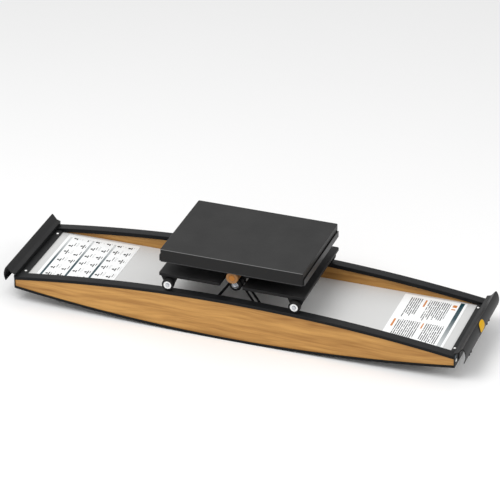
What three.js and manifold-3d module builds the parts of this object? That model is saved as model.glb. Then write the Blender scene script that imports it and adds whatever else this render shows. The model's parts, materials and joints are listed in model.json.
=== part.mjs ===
// A ski simulator: a long base of two lens-shaped wooden side boards, whose arched rail caps carry
// a four-wheeled carriage, with a foot platform that rocks on a roller above it. Elastic cords run
// from the ends of the base, up through the deck and over pulleys, and pull the carriage back.
// Millimetres, +Z up, +X along the base, +Y away from the front board. The origin is on the floor,
// under the middle of the base.

import * as THREE from "three";
import Module from "manifold-3d";
import { mergeVertices } from "three/addons/utils/BufferGeometryUtils.js";

// Base: overall sizes and the two arcs
const baseHalfLength = 650;
const baseWidth = 333;
const railSagitta = 45.6;
const bottomSagitta = 45;
const endHeight = 35.5;
const arcFacets = 31;
const clearance = 0.3;

// Side boards and the trims on their edges
const boardThickness = 20;
const boardInset = 2;
const capWeb = 3.2;
const capInnerWall = 6;
const capOuterLip = 8.9;
const capInnerLip = 11.9;
const stripInnerWall = 2;
const stripWeb = 3;
const stripLip = 7.8;

// Deck, its printed sheets and the rails under it
const deckDrop = 10.8;
const deckThickness = 3;
const deckEndGap = 10;
const deckHoleGap = 3.6;
const sheetThickness = 0.6;
const sheetSideMargin = 4;
const exerciseSheetEndGap = 45;
const exerciseSheetLength = 222;
const guideSheetEndGap = 50;
const guideSheetLength = 182;
const anchorRailInset = 110;
const anchorRailWidth = 18;
const anchorRailDepth = 22;
const cordRailWidth = 28;

// End plates, end bars and their screws
const endPlateThickness = 3;
const endPlateRise = 7.5;
const endBarInset = 22;
const endBarHeight = 6.5;
const endBarScrewInset = 7.2;
const endBarScrewMargin = 22.5;
const panHeadRadius = 3.6;
const panHeadHeight = 1.8;
const screwShankRadius = 1.7;
const faceScrewRise = 19.5;
const faceScrewRadius = 5;

// End hoods: a folded sheet with a ramp, a tight shoulder and an outer wall that bulges
const hoodSheet = 2.5;
const hoodOverlap = 4;
const hoodLipRun = 12;
const hoodLipRise = 4;
const shoulderRadius = 3;
const shoulderOffset = 21.5;
const shoulderRise = 16.4;
const shoulderStart = THREE.MathUtils.degToRad(142);
const shoulderEnd = THREE.MathUtils.degToRad(34);
const shoulderSteps = 5;
const hoodWallRadius = 44;
const hoodWallSteps = 7;
const hoodTipDrop = 23;
const hoodLegDrop = 36;
const hoodLegMargin = 36.5;
const badgeThickness = 2.4;
const badgeHalfLength = 26;
const badgeHalfWidth = 17;
const badgeMiddle = -8;
const badgeTilt = THREE.MathUtils.degToRad(74);

// Carriage: plate, wheels and their brackets
const plateHalfLength = 214;
const plateSetback = 13.3;
const plateThickness = 9;
const plateCornerRadius = 5;
const notchHalfWidth = 33;
const notchDepth = 78;
const wheelRadius = 17;
const wheelWidth = 16;
const wheelEndInset = 28;
const wheelSetback = 14.1;
const wheelTopGap = 2.65;
const wheelRecess = 2;
const wheelHubRadius = 11.5;
const wheelBoltRadius = 4;
const wheelBoltHeadRadius = 6.5;
const wheelBoltHeadHeight = 4;
const wheelNutRadius = 7;
const wheelNutHeight = 3;
const bracketSheet = 3.5;
const bracketHalfWidth = 25;
const bracketFootDepth = 24;
const bracketToeRadius = 16;

// Rocking pivot between carriage and platform
const rollerRadius = 17.6;
const rollerLowGap = 0.45;
const rollerHighGap = 0.4;
const rollerInnerGap = 5;
const rollerSetback = 7.2;
const rollerEndWall = 8;
const shaftRadius = 7;
const saddleHalfWidth = 11;
const saddleHalfSpan = 24;
const saddleTopRadius = 12;
const lugThickness = 8;
const lugGap = 3;
const lugHalfSpan = 17;
const lugToeRadius = 13;

// Elastic cords
const cordRadius = 3;
const cordTopGap = 2.2;
const cordOuterLaneInset = 9;
const cordInnerLaneInset = 7;
const cordDeckHalfSpan = 76;
const cordRunDrop = 16.7;
const cordBendRadius = 12;
const cordSides = 8;
const cordPulleySteps = 8;
const cordBendSteps = 5;
const cordRunSteps = 4;
const cordSeat = 12;

// Pulleys that carry the elastic cords
const pulleyFlangeRadius = 17;
const grooveDepth = 5.3;
const grooveHalfWidth = 4.6;
const pulleySetback = 35.2;
const pulleyInnerGap = 4.1;
const pulleyBoltRadius = 5;
const pulleyNutRadius = 10;
const pulleyNutHeight = 4.5;
const pulleyCapRadius = 6;
const pulleyCapHeight = 2.5;
const hangerSheet = 6;
const hangerFootSheet = 3;
const hangerFootDepth = 32;
const hangerHalfWidth = 16;
const hangerLockRadius = 7;
const hangerLockHeight = 6;

// Foot platform
const platformHalfLength = 209;
const platformSetback = 13.3;
const platformThickness = 38.7;
const platformCornerRadius = 4;
const platformCornerSteps = 4;
const coverSheet = 1.6;
const coverBevel = 2.2;
const coverSideFlange = 17.5;
const traySheet = 2;
const traySideGap = 2.2;
const trayProud = 4;
const coreGap = 1;

const roundSegments = 24;
const pulleySegments = 16;
const smallSegments = 12;
const cutOverrun = 2;

// Heights and depths that follow from the sizes above
const railTopEnd = bottomSagitta + endHeight;
const railTopMiddle = railTopEnd + railSagitta;
const railRadius = (baseHalfLength ** 2 + railSagitta ** 2) / (2 * railSagitta);
const bottomRadius = (baseHalfLength ** 2 + bottomSagitta ** 2) / (2 * bottomSagitta);
const boardHalfLength = baseHalfLength - endPlateThickness - clearance;
const boardFace = baseWidth / 2 - boardInset - boardThickness;
const capWidth = boardInset + boardThickness + capInnerWall;
const capInnerFace = baseWidth / 2 - capWidth;
const stripWidth = boardInset + boardThickness + stripInnerWall;
const deckTop = railTopEnd - deckDrop;
const deckBottom = deckTop - deckThickness;
const deckHoleRadius = cordRadius + deckHoleGap;
const cordRunHeight = deckBottom - cordRunDrop;
const anchorRailNear = baseHalfLength - anchorRailInset;
const anchorHoleRadius = cordRadius + 2 * clearance;
const endPlateTop = railTopEnd + endPlateRise;
const endBarNear = baseHalfLength - endBarInset;
const plateHalfDepth = baseWidth / 2 - plateSetback;
const plateBottom = railTopMiddle + 2 * wheelRadius + wheelTopGap;
const plateTop = plateBottom + plateThickness;
const wheelHalfSpacing = plateHalfLength - wheelEndInset;
const pivotHeight = plateTop + rollerLowGap + rollerRadius;
const platformHalfDepth = baseWidth / 2 - platformSetback;
const platformBottom = pivotHeight + rollerRadius + rollerHighGap;
const platformTop = platformBottom + platformThickness;
const traySideFlange = platformThickness - coverSideFlange - traySideGap;
const rollerInner = saddleHalfWidth + lugGap + lugThickness + rollerInnerGap;
const rollerOuter = platformHalfDepth - rollerSetback;
const pulleyGrooveRadius = pulleyFlangeRadius - grooveDepth;
const cordPulleyRadius = pulleyGrooveRadius + clearance + cordRadius;
const pulleyHeight = pivotHeight - rollerRadius - cordTopGap - cordRadius - cordPulleyRadius;
const pulleyOuter = plateHalfDepth - pulleySetback;
const hangerOuter = plateHalfDepth - notchDepth - clearance;
const hangerInner = hangerOuter - hangerSheet;
const pulleyInner = hangerOuter + pulleyInnerGap;
const cordLanes = [pulleyOuter - cordOuterLaneInset, pulleyInner + cordInnerLaneInset];

const wasm = await Module();
wasm.setup();

// Turns a geometry's triangles round when its faces point inwards.
function outward(geometry) {
  const position = geometry.attributes.position;
  const index = geometry.index ? Array.from(geometry.index.array) : [...Array(position.count).keys()];
  const corner = [new THREE.Vector3(), new THREE.Vector3(), new THREE.Vector3()];
  let volume = 0;
  for (let i = 0; i < index.length; i += 3) {
    corner.forEach((v, k) => v.fromBufferAttribute(position, index[i + k]));
    volume += corner[0].dot(corner[1].clone().cross(corner[2]));
  }
  if (volume < 0) {
    for (let i = 0; i < index.length; i += 3) {
      [index[i], index[i + 1]] = [index[i + 1], index[i]];
    }
  }
  geometry.setIndex(index);
  return geometry;
}

function welded(geometry) {
  const bare = geometry.clone();
  bare.deleteAttribute("normal");
  bare.deleteAttribute("uv");
  return mergeVertices(bare);
}

function toSolid(geometry) {
  const bare = welded(geometry);
  const vertProperties = new Float32Array(bare.attributes.position.array);
  const triVerts = new Uint32Array(bare.index.array);
  return new wasm.Manifold(new wasm.Mesh({ numProp: 3, vertProperties, triVerts }));
}

function toGeometry(solid) {
  const mesh = solid.getMesh();
  const geometry = new THREE.BufferGeometry();
  geometry.setAttribute("position", new THREE.BufferAttribute(new Float32Array(mesh.vertProperties), 3));
  geometry.setIndex(Array.from(mesh.triVerts));
  return geometry;
}

function cut(body, ...tools) {
  const result = tools.reduce((solid, tool) => solid.subtract(toSolid(tool)), toSolid(body));
  return toGeometry(result);
}

function join(body, ...others) {
  const result = others.reduce((solid, other) => solid.add(toSolid(other)), toSolid(body));
  return toGeometry(result);
}

function common(body, other) {
  return toGeometry(toSolid(body).intersect(toSolid(other)));
}

// A block between two corners.
function block(x0, x1, y0, y1, z0, z1) {
  const geometry = new THREE.BoxGeometry(Math.abs(x1 - x0), Math.abs(y1 - y0), Math.abs(z1 - z0));
  return geometry.translate((x0 + x1) / 2, (y0 + y1) / 2, (z0 + z1) / 2);
}

// An outline of [x, z] points carried along Y from y0 to y1.
function prismAlongY(outline, y0, y1) {
  const shape = new THREE.Shape(outline.map(([x, z]) => new THREE.Vector2(x, z)));
  const depth = Math.abs(y1 - y0);
  const geometry = new THREE.ExtrudeGeometry(shape, { depth, bevelEnabled: false });
  return outward(geometry.rotateX(Math.PI / 2).translate(0, Math.max(y0, y1), 0));
}

// A round bar along Y, centred at x and z.
function rodAlongY(x, z, radius, y0, y1, segments = smallSegments) {
  const geometry = new THREE.CylinderGeometry(radius, radius, Math.abs(y1 - y0), segments);
  return geometry.translate(x, (y0 + y1) / 2, z);
}

function rodAlongZ(x, y, radius, z0, z1, segments = smallSegments) {
  const geometry = new THREE.CylinderGeometry(radius, radius, z1 - z0, segments);
  return geometry.rotateX(Math.PI / 2).translate(x, y, (z0 + z1) / 2);
}

function rodAlongX(y, z, radius, x0, x1, segments = smallSegments) {
  const geometry = new THREE.CylinderGeometry(radius, radius, Math.abs(x1 - x0), segments);
  return geometry.rotateZ(Math.PI / 2).translate((x0 + x1) / 2, y, z);
}

// Rings of equal length joined into one closed skin; the outline gives the shape of both end caps.
function skin(rings, outline) {
  const count = outline.length;
  const contour = outline.map(([u, v]) => new THREE.Vector2(u, v));
  const caps = THREE.ShapeUtils.triangulateShape(contour, []);
  const turned = THREE.ShapeUtils.area(contour) < 0;
  const positions = rings.flat().flatMap((p) => [p.x, p.y, p.z]);
  const last = (rings.length - 1) * count;
  const index = [];
  for (const [a, b, c] of caps) {
    const [u, v, w] = [a, b, c].map((k) => contour[k]);
    const facesUp = v.clone().sub(u).cross(w.clone().sub(u)) > 0;
    const face = facesUp === turned ? [a, b, c] : [a, c, b];
    index.push(...face, ...face.map((k) => last + k).reverse());
  }
  for (let r = 0; r + 1 < rings.length; r += 1) {
    for (let k = 0; k < count; k += 1) {
      const a = r * count + k;
      const b = r * count + ((k + 1) % count);
      index.push(a, b, b + count, a, b + count, a + count);
    }
  }
  const geometry = new THREE.BufferGeometry();
  geometry.setAttribute("position", new THREE.Float32BufferAttribute(positions, 3));
  geometry.setIndex(index);
  return outward(geometry);
}

// How far an arc of this radius has dropped below its crown at x.
function arcDrop(radius, x) {
  return radius - Math.sqrt(radius ** 2 - x ** 2);
}

// Stations along an arc whose middle facet is level, from end to end.
function arcStations(radius, halfLength) {
  const halfAngle = Math.asin(halfLength / radius);
  return Array.from({ length: arcFacets + 1 }, (_, i) => {
    const angle = halfAngle * (2 * (i / arcFacets) - 1);
    return radius * Math.sin(angle);
  });
}

function railTop(x) {
  return railTopMiddle - arcDrop(railRadius, x);
}

const bottomFlat = arcStations(bottomRadius, boardHalfLength)[(arcFacets + 1) / 2];
const bottomDip = arcDrop(bottomRadius, bottomFlat);

function bottomEdge(x) {
  return arcDrop(bottomRadius, x) - bottomDip;
}

// A profile of [inset from the outer side, height] points carried along an arc, on one side of the base.
function edgeTrim(profile, heightAt, radius, side) {
  const rings = arcStations(radius, boardHalfLength).map((x) =>
    profile.map(([inset, rise]) => new THREE.Vector3(x, side * (baseWidth / 2 - inset), heightAt(x) + rise))
  );
  return skin(rings, profile);
}

function sideBoard(side) {
  const topEdge = arcStations(railRadius, boardHalfLength).map((x) => [x, railTop(x) - capWeb - clearance]);
  const lowRise = stripWeb + clearance;
  const lowEdge = arcStations(bottomRadius, boardHalfLength).map((x) => [x, bottomEdge(x) + lowRise]);
  const outline = [...lowEdge, ...topEdge.reverse()];
  const outer = baseWidth / 2 - boardInset;
  return prismAlongY(outline, side * outer, side * (outer - boardThickness));
}

function railCap(side) {
  const inner = boardInset + boardThickness + clearance;
  const outer = boardInset - clearance;
  const profile = [
    [0, 0],
    [0, -capOuterLip],
    [outer, -capOuterLip],
    [outer, -capWeb],
    [inner, -capWeb],
    [inner, -capInnerLip],
    [capWidth, -capInnerLip],
    [capWidth, 0],
  ];
  return edgeTrim(profile, railTop, railRadius, side);
}

function bottomStrip(side) {
  const inner = boardInset + boardThickness + clearance;
  const outer = boardInset - clearance;
  const profile = [
    [0, 0],
    [stripWidth, 0],
    [stripWidth, stripLip],
    [inner, stripLip],
    [inner, stripWeb],
    [outer, stripWeb],
    [outer, stripLip],
    [0, stripLip],
  ];
  return edgeTrim(profile, bottomEdge, bottomRadius, side);
}

function deckSheet() {
  const halfLength = baseHalfLength - deckEndGap;
  const halfWidth = boardFace - clearance;
  const sheet = block(-halfLength, halfLength, -halfWidth, halfWidth, deckBottom, deckTop);
  const holes = [];
  for (const x of [-cordDeckHalfSpan, cordDeckHalfSpan]) {
    for (const lane of cordLanes) {
      for (const side of [-1, 1]) {
        holes.push(rodAlongZ(x, side * lane, deckHoleRadius, deckBottom - cutOverrun, deckTop + cutOverrun));
      }
    }
  }
  return cut(sheet, ...holes);
}

function printedSheet(end, endGap, length) {
  const far = baseHalfLength - endGap;
  const halfWidth = capInnerFace - sheetSideMargin;
  const low = deckTop + clearance;
  return block(end * (far - length), end * far, -halfWidth, halfWidth, low, low + sheetThickness);
}

// The route of an elastic cord in the XZ plane, worked out for the +X half: over the pulley, down
// through the deck, round the cord rail and level to the anchor rail.
function cordRoute() {
  const dx = cordDeckHalfSpan;
  const dz = deckTop - pulleyHeight;
  const reach = Math.hypot(dx, dz);
  const tangentAngle = Math.atan2(dz, dx) + Math.acos(cordPulleyRadius / reach);
  const leave = new THREE.Vector2(Math.cos(tangentAngle), Math.sin(tangentAngle));
  const start = leave.clone().multiplyScalar(cordPulleyRadius).add(new THREE.Vector2(0, pulleyHeight));
  const along = new THREE.Vector2(leave.y, -leave.x);
  const bendCentreHeight = cordRunHeight + cordBendRadius;
  const travel = (start.y + leave.y * cordBendRadius - bendCentreHeight) / -along.y;
  const bendCentre = start.clone().addScaledVector(along, travel).addScaledVector(leave, cordBendRadius);
  return { tangentAngle, bendCentre };
}

function cordPoints() {
  const { tangentAngle, bendCentre } = cordRoute();
  const half = [];
  for (let i = 0; i <= cordPulleySteps; i += 1) {
    const angle = Math.PI / 2 + (tangentAngle - Math.PI / 2) * (i / cordPulleySteps);
    half.push([Math.cos(angle) * cordPulleyRadius, pulleyHeight + Math.sin(angle) * cordPulleyRadius]);
  }
  for (let i = 0; i <= cordBendSteps; i += 1) {
    const angle = tangentAngle - Math.PI + (Math.PI / 2 - tangentAngle) * (i / cordBendSteps);
    half.push([
      bendCentre.x + Math.cos(angle) * cordBendRadius,
      bendCentre.y + Math.sin(angle) * cordBendRadius,
    ]);
  }
  const runStart = bendCentre.x;
  const runEnd = anchorRailNear + cordSeat;
  for (let i = 1; i <= cordRunSteps; i += 1) {
    half.push([runStart + (runEnd - runStart) * (i / cordRunSteps), cordRunHeight]);
  }
  const mirrored = half.slice(1).reverse().map(([x, z]) => [-x, z]);
  return [...mirrored, ...half];
}

function elasticCord(y) {
  const points = cordPoints().map(([x, z]) => new THREE.Vector2(x, z));
  const section = Array.from({ length: cordSides }, (_, k) => {
    const turn = ((k + 1 / 2) / cordSides) * 2 * Math.PI;
    return [Math.cos(turn) * cordRadius, Math.sin(turn) * cordRadius];
  });
  const rings = points.map((point, i) => {
    const before = points[Math.max(i - 1, 0)];
    const after = points[Math.min(i + 1, points.length - 1)];
    const along = after.clone().sub(before).normalize();
    return section.map(([u, v]) => new THREE.Vector3(point.x - along.y * u, y + v, point.y + along.x * u));
  });
  return skin(rings, section);
}

// A cross rail under the deck whose lower inner corner is rounded to guide the cords.
function cordRail(end) {
  const { bendCentre } = cordRoute();
  const radius = cordBendRadius - cordRadius - clearance;
  const top = deckBottom - clearance;
  const far = bendCentre.x - radius + cordRailWidth;
  const corner = Array.from({ length: cordBendSteps + 1 }, (_, i) => {
    const angle = Math.PI + (Math.PI / 2) * (i / cordBendSteps);
    return [bendCentre.x + Math.cos(angle) * radius, bendCentre.y + Math.sin(angle) * radius];
  });
  const outline = [...corner, [far, bendCentre.y - radius], [far, top], [bendCentre.x - radius, top]];
  const halfWidth = boardFace - clearance;
  return prismAlongY(outline.map(([x, z]) => [end * x, z]), -halfWidth, halfWidth);
}

function anchorRail(end) {
  const top = deckBottom - clearance;
  const halfWidth = boardFace - clearance;
  const far = anchorRailNear + anchorRailWidth;
  const rail = block(end * anchorRailNear, end * far, -halfWidth, halfWidth, top - anchorRailDepth, top);
  const holes = cordLanes.flatMap((lane) =>
    [-1, 1].map((side) => {
      const near = end * (anchorRailNear - cutOverrun);
      return rodAlongX(side * lane, cordRunHeight, anchorHoleRadius, near, end * (far + cutOverrun));
    })
  );
  return cut(rail, ...holes);
}

function endPlate(end) {
  const near = baseHalfLength - endPlateThickness;
  const low = bottomEdge(boardHalfLength);
  return block(end * near, end * baseHalfLength, -baseWidth / 2, baseWidth / 2, low, endPlateTop);
}

const endBarLow = deckTop + clearance;
const endBarScrewX = endBarNear + endBarScrewInset;
const endBarScrewSpread = capInnerFace - endBarScrewMargin;

function endBar(end) {
  const far = baseHalfLength - endPlateThickness - clearance;
  const halfWidth = capInnerFace - clearance;
  const bar = block(end * endBarNear, end * far, -halfWidth, halfWidth, endBarLow, endBarLow + endBarHeight);
  const radius = screwShankRadius + clearance;
  const holes = [-1, 1].map((side) =>
    rodAlongZ(
      end * endBarScrewX,
      side * endBarScrewSpread,
      radius,
      endBarLow - cutOverrun,
      endBarLow + endBarHeight + cutOverrun
    )
  );
  return cut(bar, ...holes);
}

// A pan-head screw pointing down, its head resting on the face at the given height.
function downScrew(x, y, face, length) {
  const low = face - length;
  const profile = [
    [0, low],
    [screwShankRadius, low],
    [screwShankRadius, face + clearance],
    [panHeadRadius, face + clearance],
    [panHeadRadius, face + panHeadHeight / 2],
    [panHeadRadius / 2, face + panHeadHeight],
    [0, face + panHeadHeight],
  ].map(([r, z]) => new THREE.Vector2(r, z));
  return outward(new THREE.LatheGeometry(profile, smallSegments).rotateX(Math.PI / 2).translate(x, y, 0));
}

// A pan head on the outer face of an end, standing a clearance off it.
function faceScrew(end, y, z, face, radius) {
  const near = face + clearance;
  const profile = [
    [0, near],
    [radius, near],
    [radius, near + panHeadHeight / 2],
    [radius / 2, near + panHeadHeight],
    [0, near + panHeadHeight],
  ].map(([r, x]) => new THREE.Vector2(r, x));
  const head = new THREE.LatheGeometry(profile, smallSegments).rotateZ(-Math.PI / 2);
  if (end < 0) {
    head.rotateZ(Math.PI);
  }
  return outward(head.translate(0, y, z));
}

const hoodSeat = endPlateTop + clearance + hoodSheet;
const shoulderCentre = [baseHalfLength + shoulderOffset, hoodSeat + shoulderRise];
const hoodWallCentre = [
  shoulderCentre[0] - (hoodWallRadius - shoulderRadius) * Math.cos(shoulderEnd),
  shoulderCentre[1] - (hoodWallRadius - shoulderRadius) * Math.sin(shoulderEnd),
];

function arcPoints(centre, radius, from, to, steps) {
  return Array.from({ length: steps + 1 }, (_, i) => {
    const angle = from + (to - from) * (i / steps);
    return [centre[0] + Math.cos(angle) * radius, centre[1] + Math.sin(angle) * radius];
  });
}

// The outer path of the hood's section on the +X end, raised off the surface by an offset.
function hoodPath(offset = 0) {
  const tipAngle = Math.asin((endPlateTop - hoodTipDrop - hoodWallCentre[1]) / hoodWallRadius);
  const wall = arcPoints(hoodWallCentre, hoodWallRadius, shoulderEnd, tipAngle, hoodWallSteps);
  const path = [
    [baseHalfLength - hoodOverlap, hoodSeat],
    [baseHalfLength - hoodOverlap + hoodLipRun, hoodSeat + hoodLipRise],
    ...arcPoints(shoulderCentre, shoulderRadius, shoulderStart, shoulderEnd, shoulderSteps),
    ...wall.slice(1),
  ];
  return offsetPath(path, offset);
}

// Moves each point of an open [x, z] path to its left by a distance, keeping the sheet's thickness
// at the corners.
function offsetPath(path, distance) {
  const points = path.map(([x, z]) => new THREE.Vector2(x, z));
  return points.map((point, i) => {
    const into = points[i].clone().sub(points[Math.max(i - 1, 0)]);
    const out = points[Math.min(i + 1, points.length - 1)].clone().sub(point);
    const first = (into.length() > 0 ? into : out).normalize();
    const second = (out.length() > 0 ? out : into).normalize();
    const normal = new THREE.Vector2(-(first.y + second.y), first.x + second.x).normalize();
    const miter = normal.dot(new THREE.Vector2(-first.y, first.x));
    return [point.x + (normal.x * distance) / miter, point.y + (normal.y * distance) / miter];
  });
}

function sheetOutline(path, thickness) {
  return [...path, ...offsetPath(path, -thickness).reverse()];
}

function endHood(end) {
  const mirror = (outline) => outline.map(([x, z]) => [end * x, z]);
  const fold = prismAlongY(mirror(sheetOutline(hoodPath(), hoodSheet)), -baseWidth / 2, baseWidth / 2);
  const legEnds = [end * (baseHalfLength + clearance), end * (baseHalfLength + clearance + hoodSheet)];
  const legHalfWidth = baseWidth / 2 - hoodLegMargin;
  const leg = block(...legEnds, -legHalfWidth, legHalfWidth, endPlateTop - hoodLegDrop, hoodSeat);
  return join(fold, leg);
}

// A domed oval on the hood's outer wall: the wall's section, thickened outwards, cut to the oval.
function endBadge() {
  const path = hoodPath(clearance + badgeThickness);
  const ends = [badgeMiddle - badgeHalfLength, badgeMiddle + badgeHalfLength];
  const strip = prismAlongY(sheetOutline(path, badgeThickness), ...ends);
  const centreX = hoodWallCentre[0] + Math.sin(badgeTilt) * hoodWallRadius;
  const centreZ = hoodWallCentre[1] + Math.cos(badgeTilt) * hoodWallRadius;
  const oval = new THREE.CylinderGeometry(1, 1, 1, roundSegments)
    .scale(badgeHalfWidth, badgeHalfWidth, badgeHalfLength)
    .rotateX(Math.PI / 2)
    .rotateY(badgeTilt)
    .translate(centreX, badgeMiddle, centreZ);
  return common(strip, oval);
}

// A round piece about an axis along Y, from a closed [radius, y] profile; y grows away from the
// middle of the machine on the given side.
function turned(profile, x, z, side, segments = roundSegments) {
  const points = profile.map(([r, y]) => new THREE.Vector2(r, side * y));
  return outward(new THREE.LatheGeometry(points, segments).translate(x, 0, z));
}

const wheelMiddle = baseWidth / 2 - wheelSetback;
const wheelOrbit = railRadius + clearance + wheelRadius;
const wheelHeight = railTopMiddle - railRadius + Math.sqrt(wheelOrbit ** 2 - wheelHalfSpacing ** 2);
const wheelInner = wheelMiddle - wheelWidth / 2;
const wheelOuter = wheelMiddle + wheelWidth / 2;
const bracketOuter = wheelInner - 2 * clearance;
const bracketInner = bracketOuter - bracketSheet;

function wheel(end, side) {
  const bore = wheelBoltRadius + clearance;
  const chamfer = wheelRecess;
  const profile = [
    [bore, wheelInner],
    [wheelRadius - chamfer, wheelInner],
    [wheelRadius, wheelInner + chamfer],
    [wheelRadius, wheelOuter - chamfer],
    [wheelRadius - chamfer, wheelOuter],
    [wheelHubRadius, wheelOuter],
    [wheelHubRadius, wheelOuter - wheelRecess],
    [bore, wheelOuter - wheelRecess],
    [bore, wheelInner],
  ];
  return turned(profile, end * wheelHalfSpacing, wheelHeight, side);
}

function wheelBolt(end, side) {
  const headLow = wheelOuter - wheelRecess + clearance;
  const nutHigh = bracketInner - clearance;
  const profile = [
    [0, nutHigh - wheelNutHeight],
    [wheelNutRadius, nutHigh - wheelNutHeight],
    [wheelNutRadius, nutHigh],
    [wheelBoltRadius, nutHigh],
    [wheelBoltRadius, headLow],
    [wheelBoltHeadRadius, headLow],
    [wheelBoltHeadRadius, headLow + wheelBoltHeadHeight],
    [0, headLow + wheelBoltHeadHeight],
  ];
  return turned(profile, end * wheelHalfSpacing, wheelHeight, side, smallSegments);
}

// A folded bracket: a foot under the plate and a leg that narrows to a round toe at the bolt.
function wheelBracket(end, side) {
  const x = end * wheelHalfSpacing;
  const top = plateBottom - clearance;
  const toe = Array.from({ length: smallSegments / 2 + 1 }, (_, i) => {
    const angle = -Math.PI * (i / (smallSegments / 2));
    return [x + Math.cos(angle) * bracketToeRadius, wheelHeight + Math.sin(angle) * bracketToeRadius];
  });
  const legTop = top - bracketSheet;
  const outline = [...toe, [x - bracketHalfWidth, legTop], [x - bracketHalfWidth, top],
    [x + bracketHalfWidth, top], [x + bracketHalfWidth, legTop]];
  const leg = prismAlongY(outline, side * bracketInner, side * bracketOuter);
  const footEnds = [side * (bracketOuter - bracketFootDepth), side * bracketOuter];
  const foot = block(x - bracketHalfWidth, x + bracketHalfWidth, ...footEnds, legTop, top);
  const boreEnds = [side * (bracketInner - cutOverrun), side * (bracketOuter + cutOverrun)];
  const bore = rodAlongY(x, wheelHeight, wheelBoltRadius + clearance, ...boreEnds);
  return cut(join(foot, leg), bore);
}

function roundedOutline(halfLength, halfDepth, radius, steps) {
  const corners = [
    [halfLength - radius, halfDepth - radius, 0],
    [radius - halfLength, halfDepth - radius, Math.PI / 2],
    [radius - halfLength, radius - halfDepth, Math.PI],
    [halfLength - radius, radius - halfDepth, -Math.PI / 2],
  ];
  return corners.flatMap(([x, y, from]) =>
    Array.from({ length: steps + 1 }, (_, i) => {
      const angle = from + (Math.PI / 2) * (i / steps);
      return [x + Math.cos(angle) * radius, y + Math.sin(angle) * radius];
    })
  );
}

// A rounded slab from a list of levels, each a height and how far the outline has drawn in there.
function slab(halfLength, halfDepth, radius, levels) {
  const outlineAt = (inset) =>
    roundedOutline(halfLength - inset, halfDepth - inset, radius - inset, platformCornerSteps);
  const rings = levels.map(([z, inset]) => outlineAt(inset).map(([x, y]) => new THREE.Vector3(x, y, z)));
  return skin(rings, outlineAt(0));
}

function carriagePlate() {
  const plate = slab(plateHalfLength, plateHalfDepth, plateCornerRadius, [
    [plateBottom, 0],
    [plateTop, 0],
  ]);
  const notches = [-1, 1].map((side) =>
    block(
      -notchHalfWidth,
      notchHalfWidth,
      side * (plateHalfDepth - notchDepth),
      side * (plateHalfDepth + cutOverrun),
      plateBottom - cutOverrun,
      plateTop + cutOverrun
    )
  );
  return cut(plate, ...notches);
}

// An upright with a round top or toe about the pivot, from a base edge at a given height.
function eyePlate(base, halfSpan, eyeRadius, y0, y1) {
  const upward = base < pivotHeight ? 1 : -1;
  const eye = Array.from({ length: smallSegments + 1 }, (_, i) => {
    const angle = upward * Math.PI * (i / smallSegments);
    return [Math.cos(angle) * eyeRadius, pivotHeight + Math.sin(angle) * eyeRadius];
  });
  const outline = [[halfSpan, base], ...eye, [-halfSpan, base]];
  const boreEnds = [y0 - cutOverrun, y1 + cutOverrun];
  const bore = rodAlongY(0, pivotHeight, shaftRadius + clearance, ...boreEnds, roundSegments);
  return cut(prismAlongY(outline, y0, y1), bore);
}

function pivotSaddle() {
  const base = plateTop + clearance;
  return eyePlate(base, saddleHalfSpan, saddleTopRadius, -saddleHalfWidth, saddleHalfWidth);
}

function pivotLug(side) {
  const inner = saddleHalfWidth + lugGap;
  const faces = [side * inner, side * (inner + lugThickness)];
  const base = platformBottom - clearance;
  return eyePlate(base, lugHalfSpan, lugToeRadius, Math.min(...faces), Math.max(...faces));
}

function pivotShaft() {
  const halfLength = rollerOuter - rollerEndWall - clearance;
  return rodAlongY(0, pivotHeight, shaftRadius, -halfLength, halfLength);
}

function rockerRoller(side) {
  const bore = shaftRadius + clearance;
  const wallInner = rollerOuter - rollerEndWall;
  const profile = [
    [bore, rollerInner],
    [rollerRadius, rollerInner],
    [rollerRadius, rollerOuter],
    [0, rollerOuter],
    [0, wallInner],
    [bore, wallInner],
    [bore, rollerInner],
  ];
  return turned(profile, 0, pivotHeight, side);
}

function pulley(side) {
  const bore = pulleyBoltRadius + clearance;
  const grooves = [...cordLanes].reverse().flatMap((lane) => [
    [pulleyFlangeRadius, lane - grooveHalfWidth],
    [pulleyGrooveRadius, lane - grooveHalfWidth / 2],
    [pulleyGrooveRadius, lane + grooveHalfWidth / 2],
    [pulleyFlangeRadius, lane + grooveHalfWidth],
  ]);
  const profile = [
    [bore, pulleyInner],
    [pulleyFlangeRadius, pulleyInner],
    ...grooves,
    [pulleyFlangeRadius, pulleyOuter],
    [bore, pulleyOuter],
    [bore, pulleyInner],
  ];
  return turned(profile, 0, pulleyHeight, side, pulleySegments);
}

function pulleyHanger(side) {
  const top = plateBottom - clearance;
  const toe = Array.from({ length: smallSegments / 2 + 1 }, (_, i) => {
    const angle = -Math.PI * (i / (smallSegments / 2));
    return [Math.cos(angle) * hangerHalfWidth, pulleyHeight + Math.sin(angle) * hangerHalfWidth];
  });
  const outline = [...toe, [-hangerHalfWidth, top], [hangerHalfWidth, top]];
  const leg = prismAlongY(outline, side * hangerInner, side * hangerOuter);
  const footFar = side * (hangerOuter - hangerFootDepth);
  const footLow = top - hangerFootSheet;
  const foot = block(-hangerHalfWidth, hangerHalfWidth, footFar, side * hangerOuter, footLow, top);
  const boreEnds = [side * (hangerInner - cutOverrun), side * (hangerOuter + cutOverrun)];
  const bore = rodAlongY(0, pulleyHeight, pulleyBoltRadius + clearance, ...boreEnds);
  const lockRoom = rodAlongY(0, pulleyHeight, hangerLockRadius + clearance, footFar, side * hangerInner);
  return cut(join(foot, leg), bore, lockRoom);
}

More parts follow.
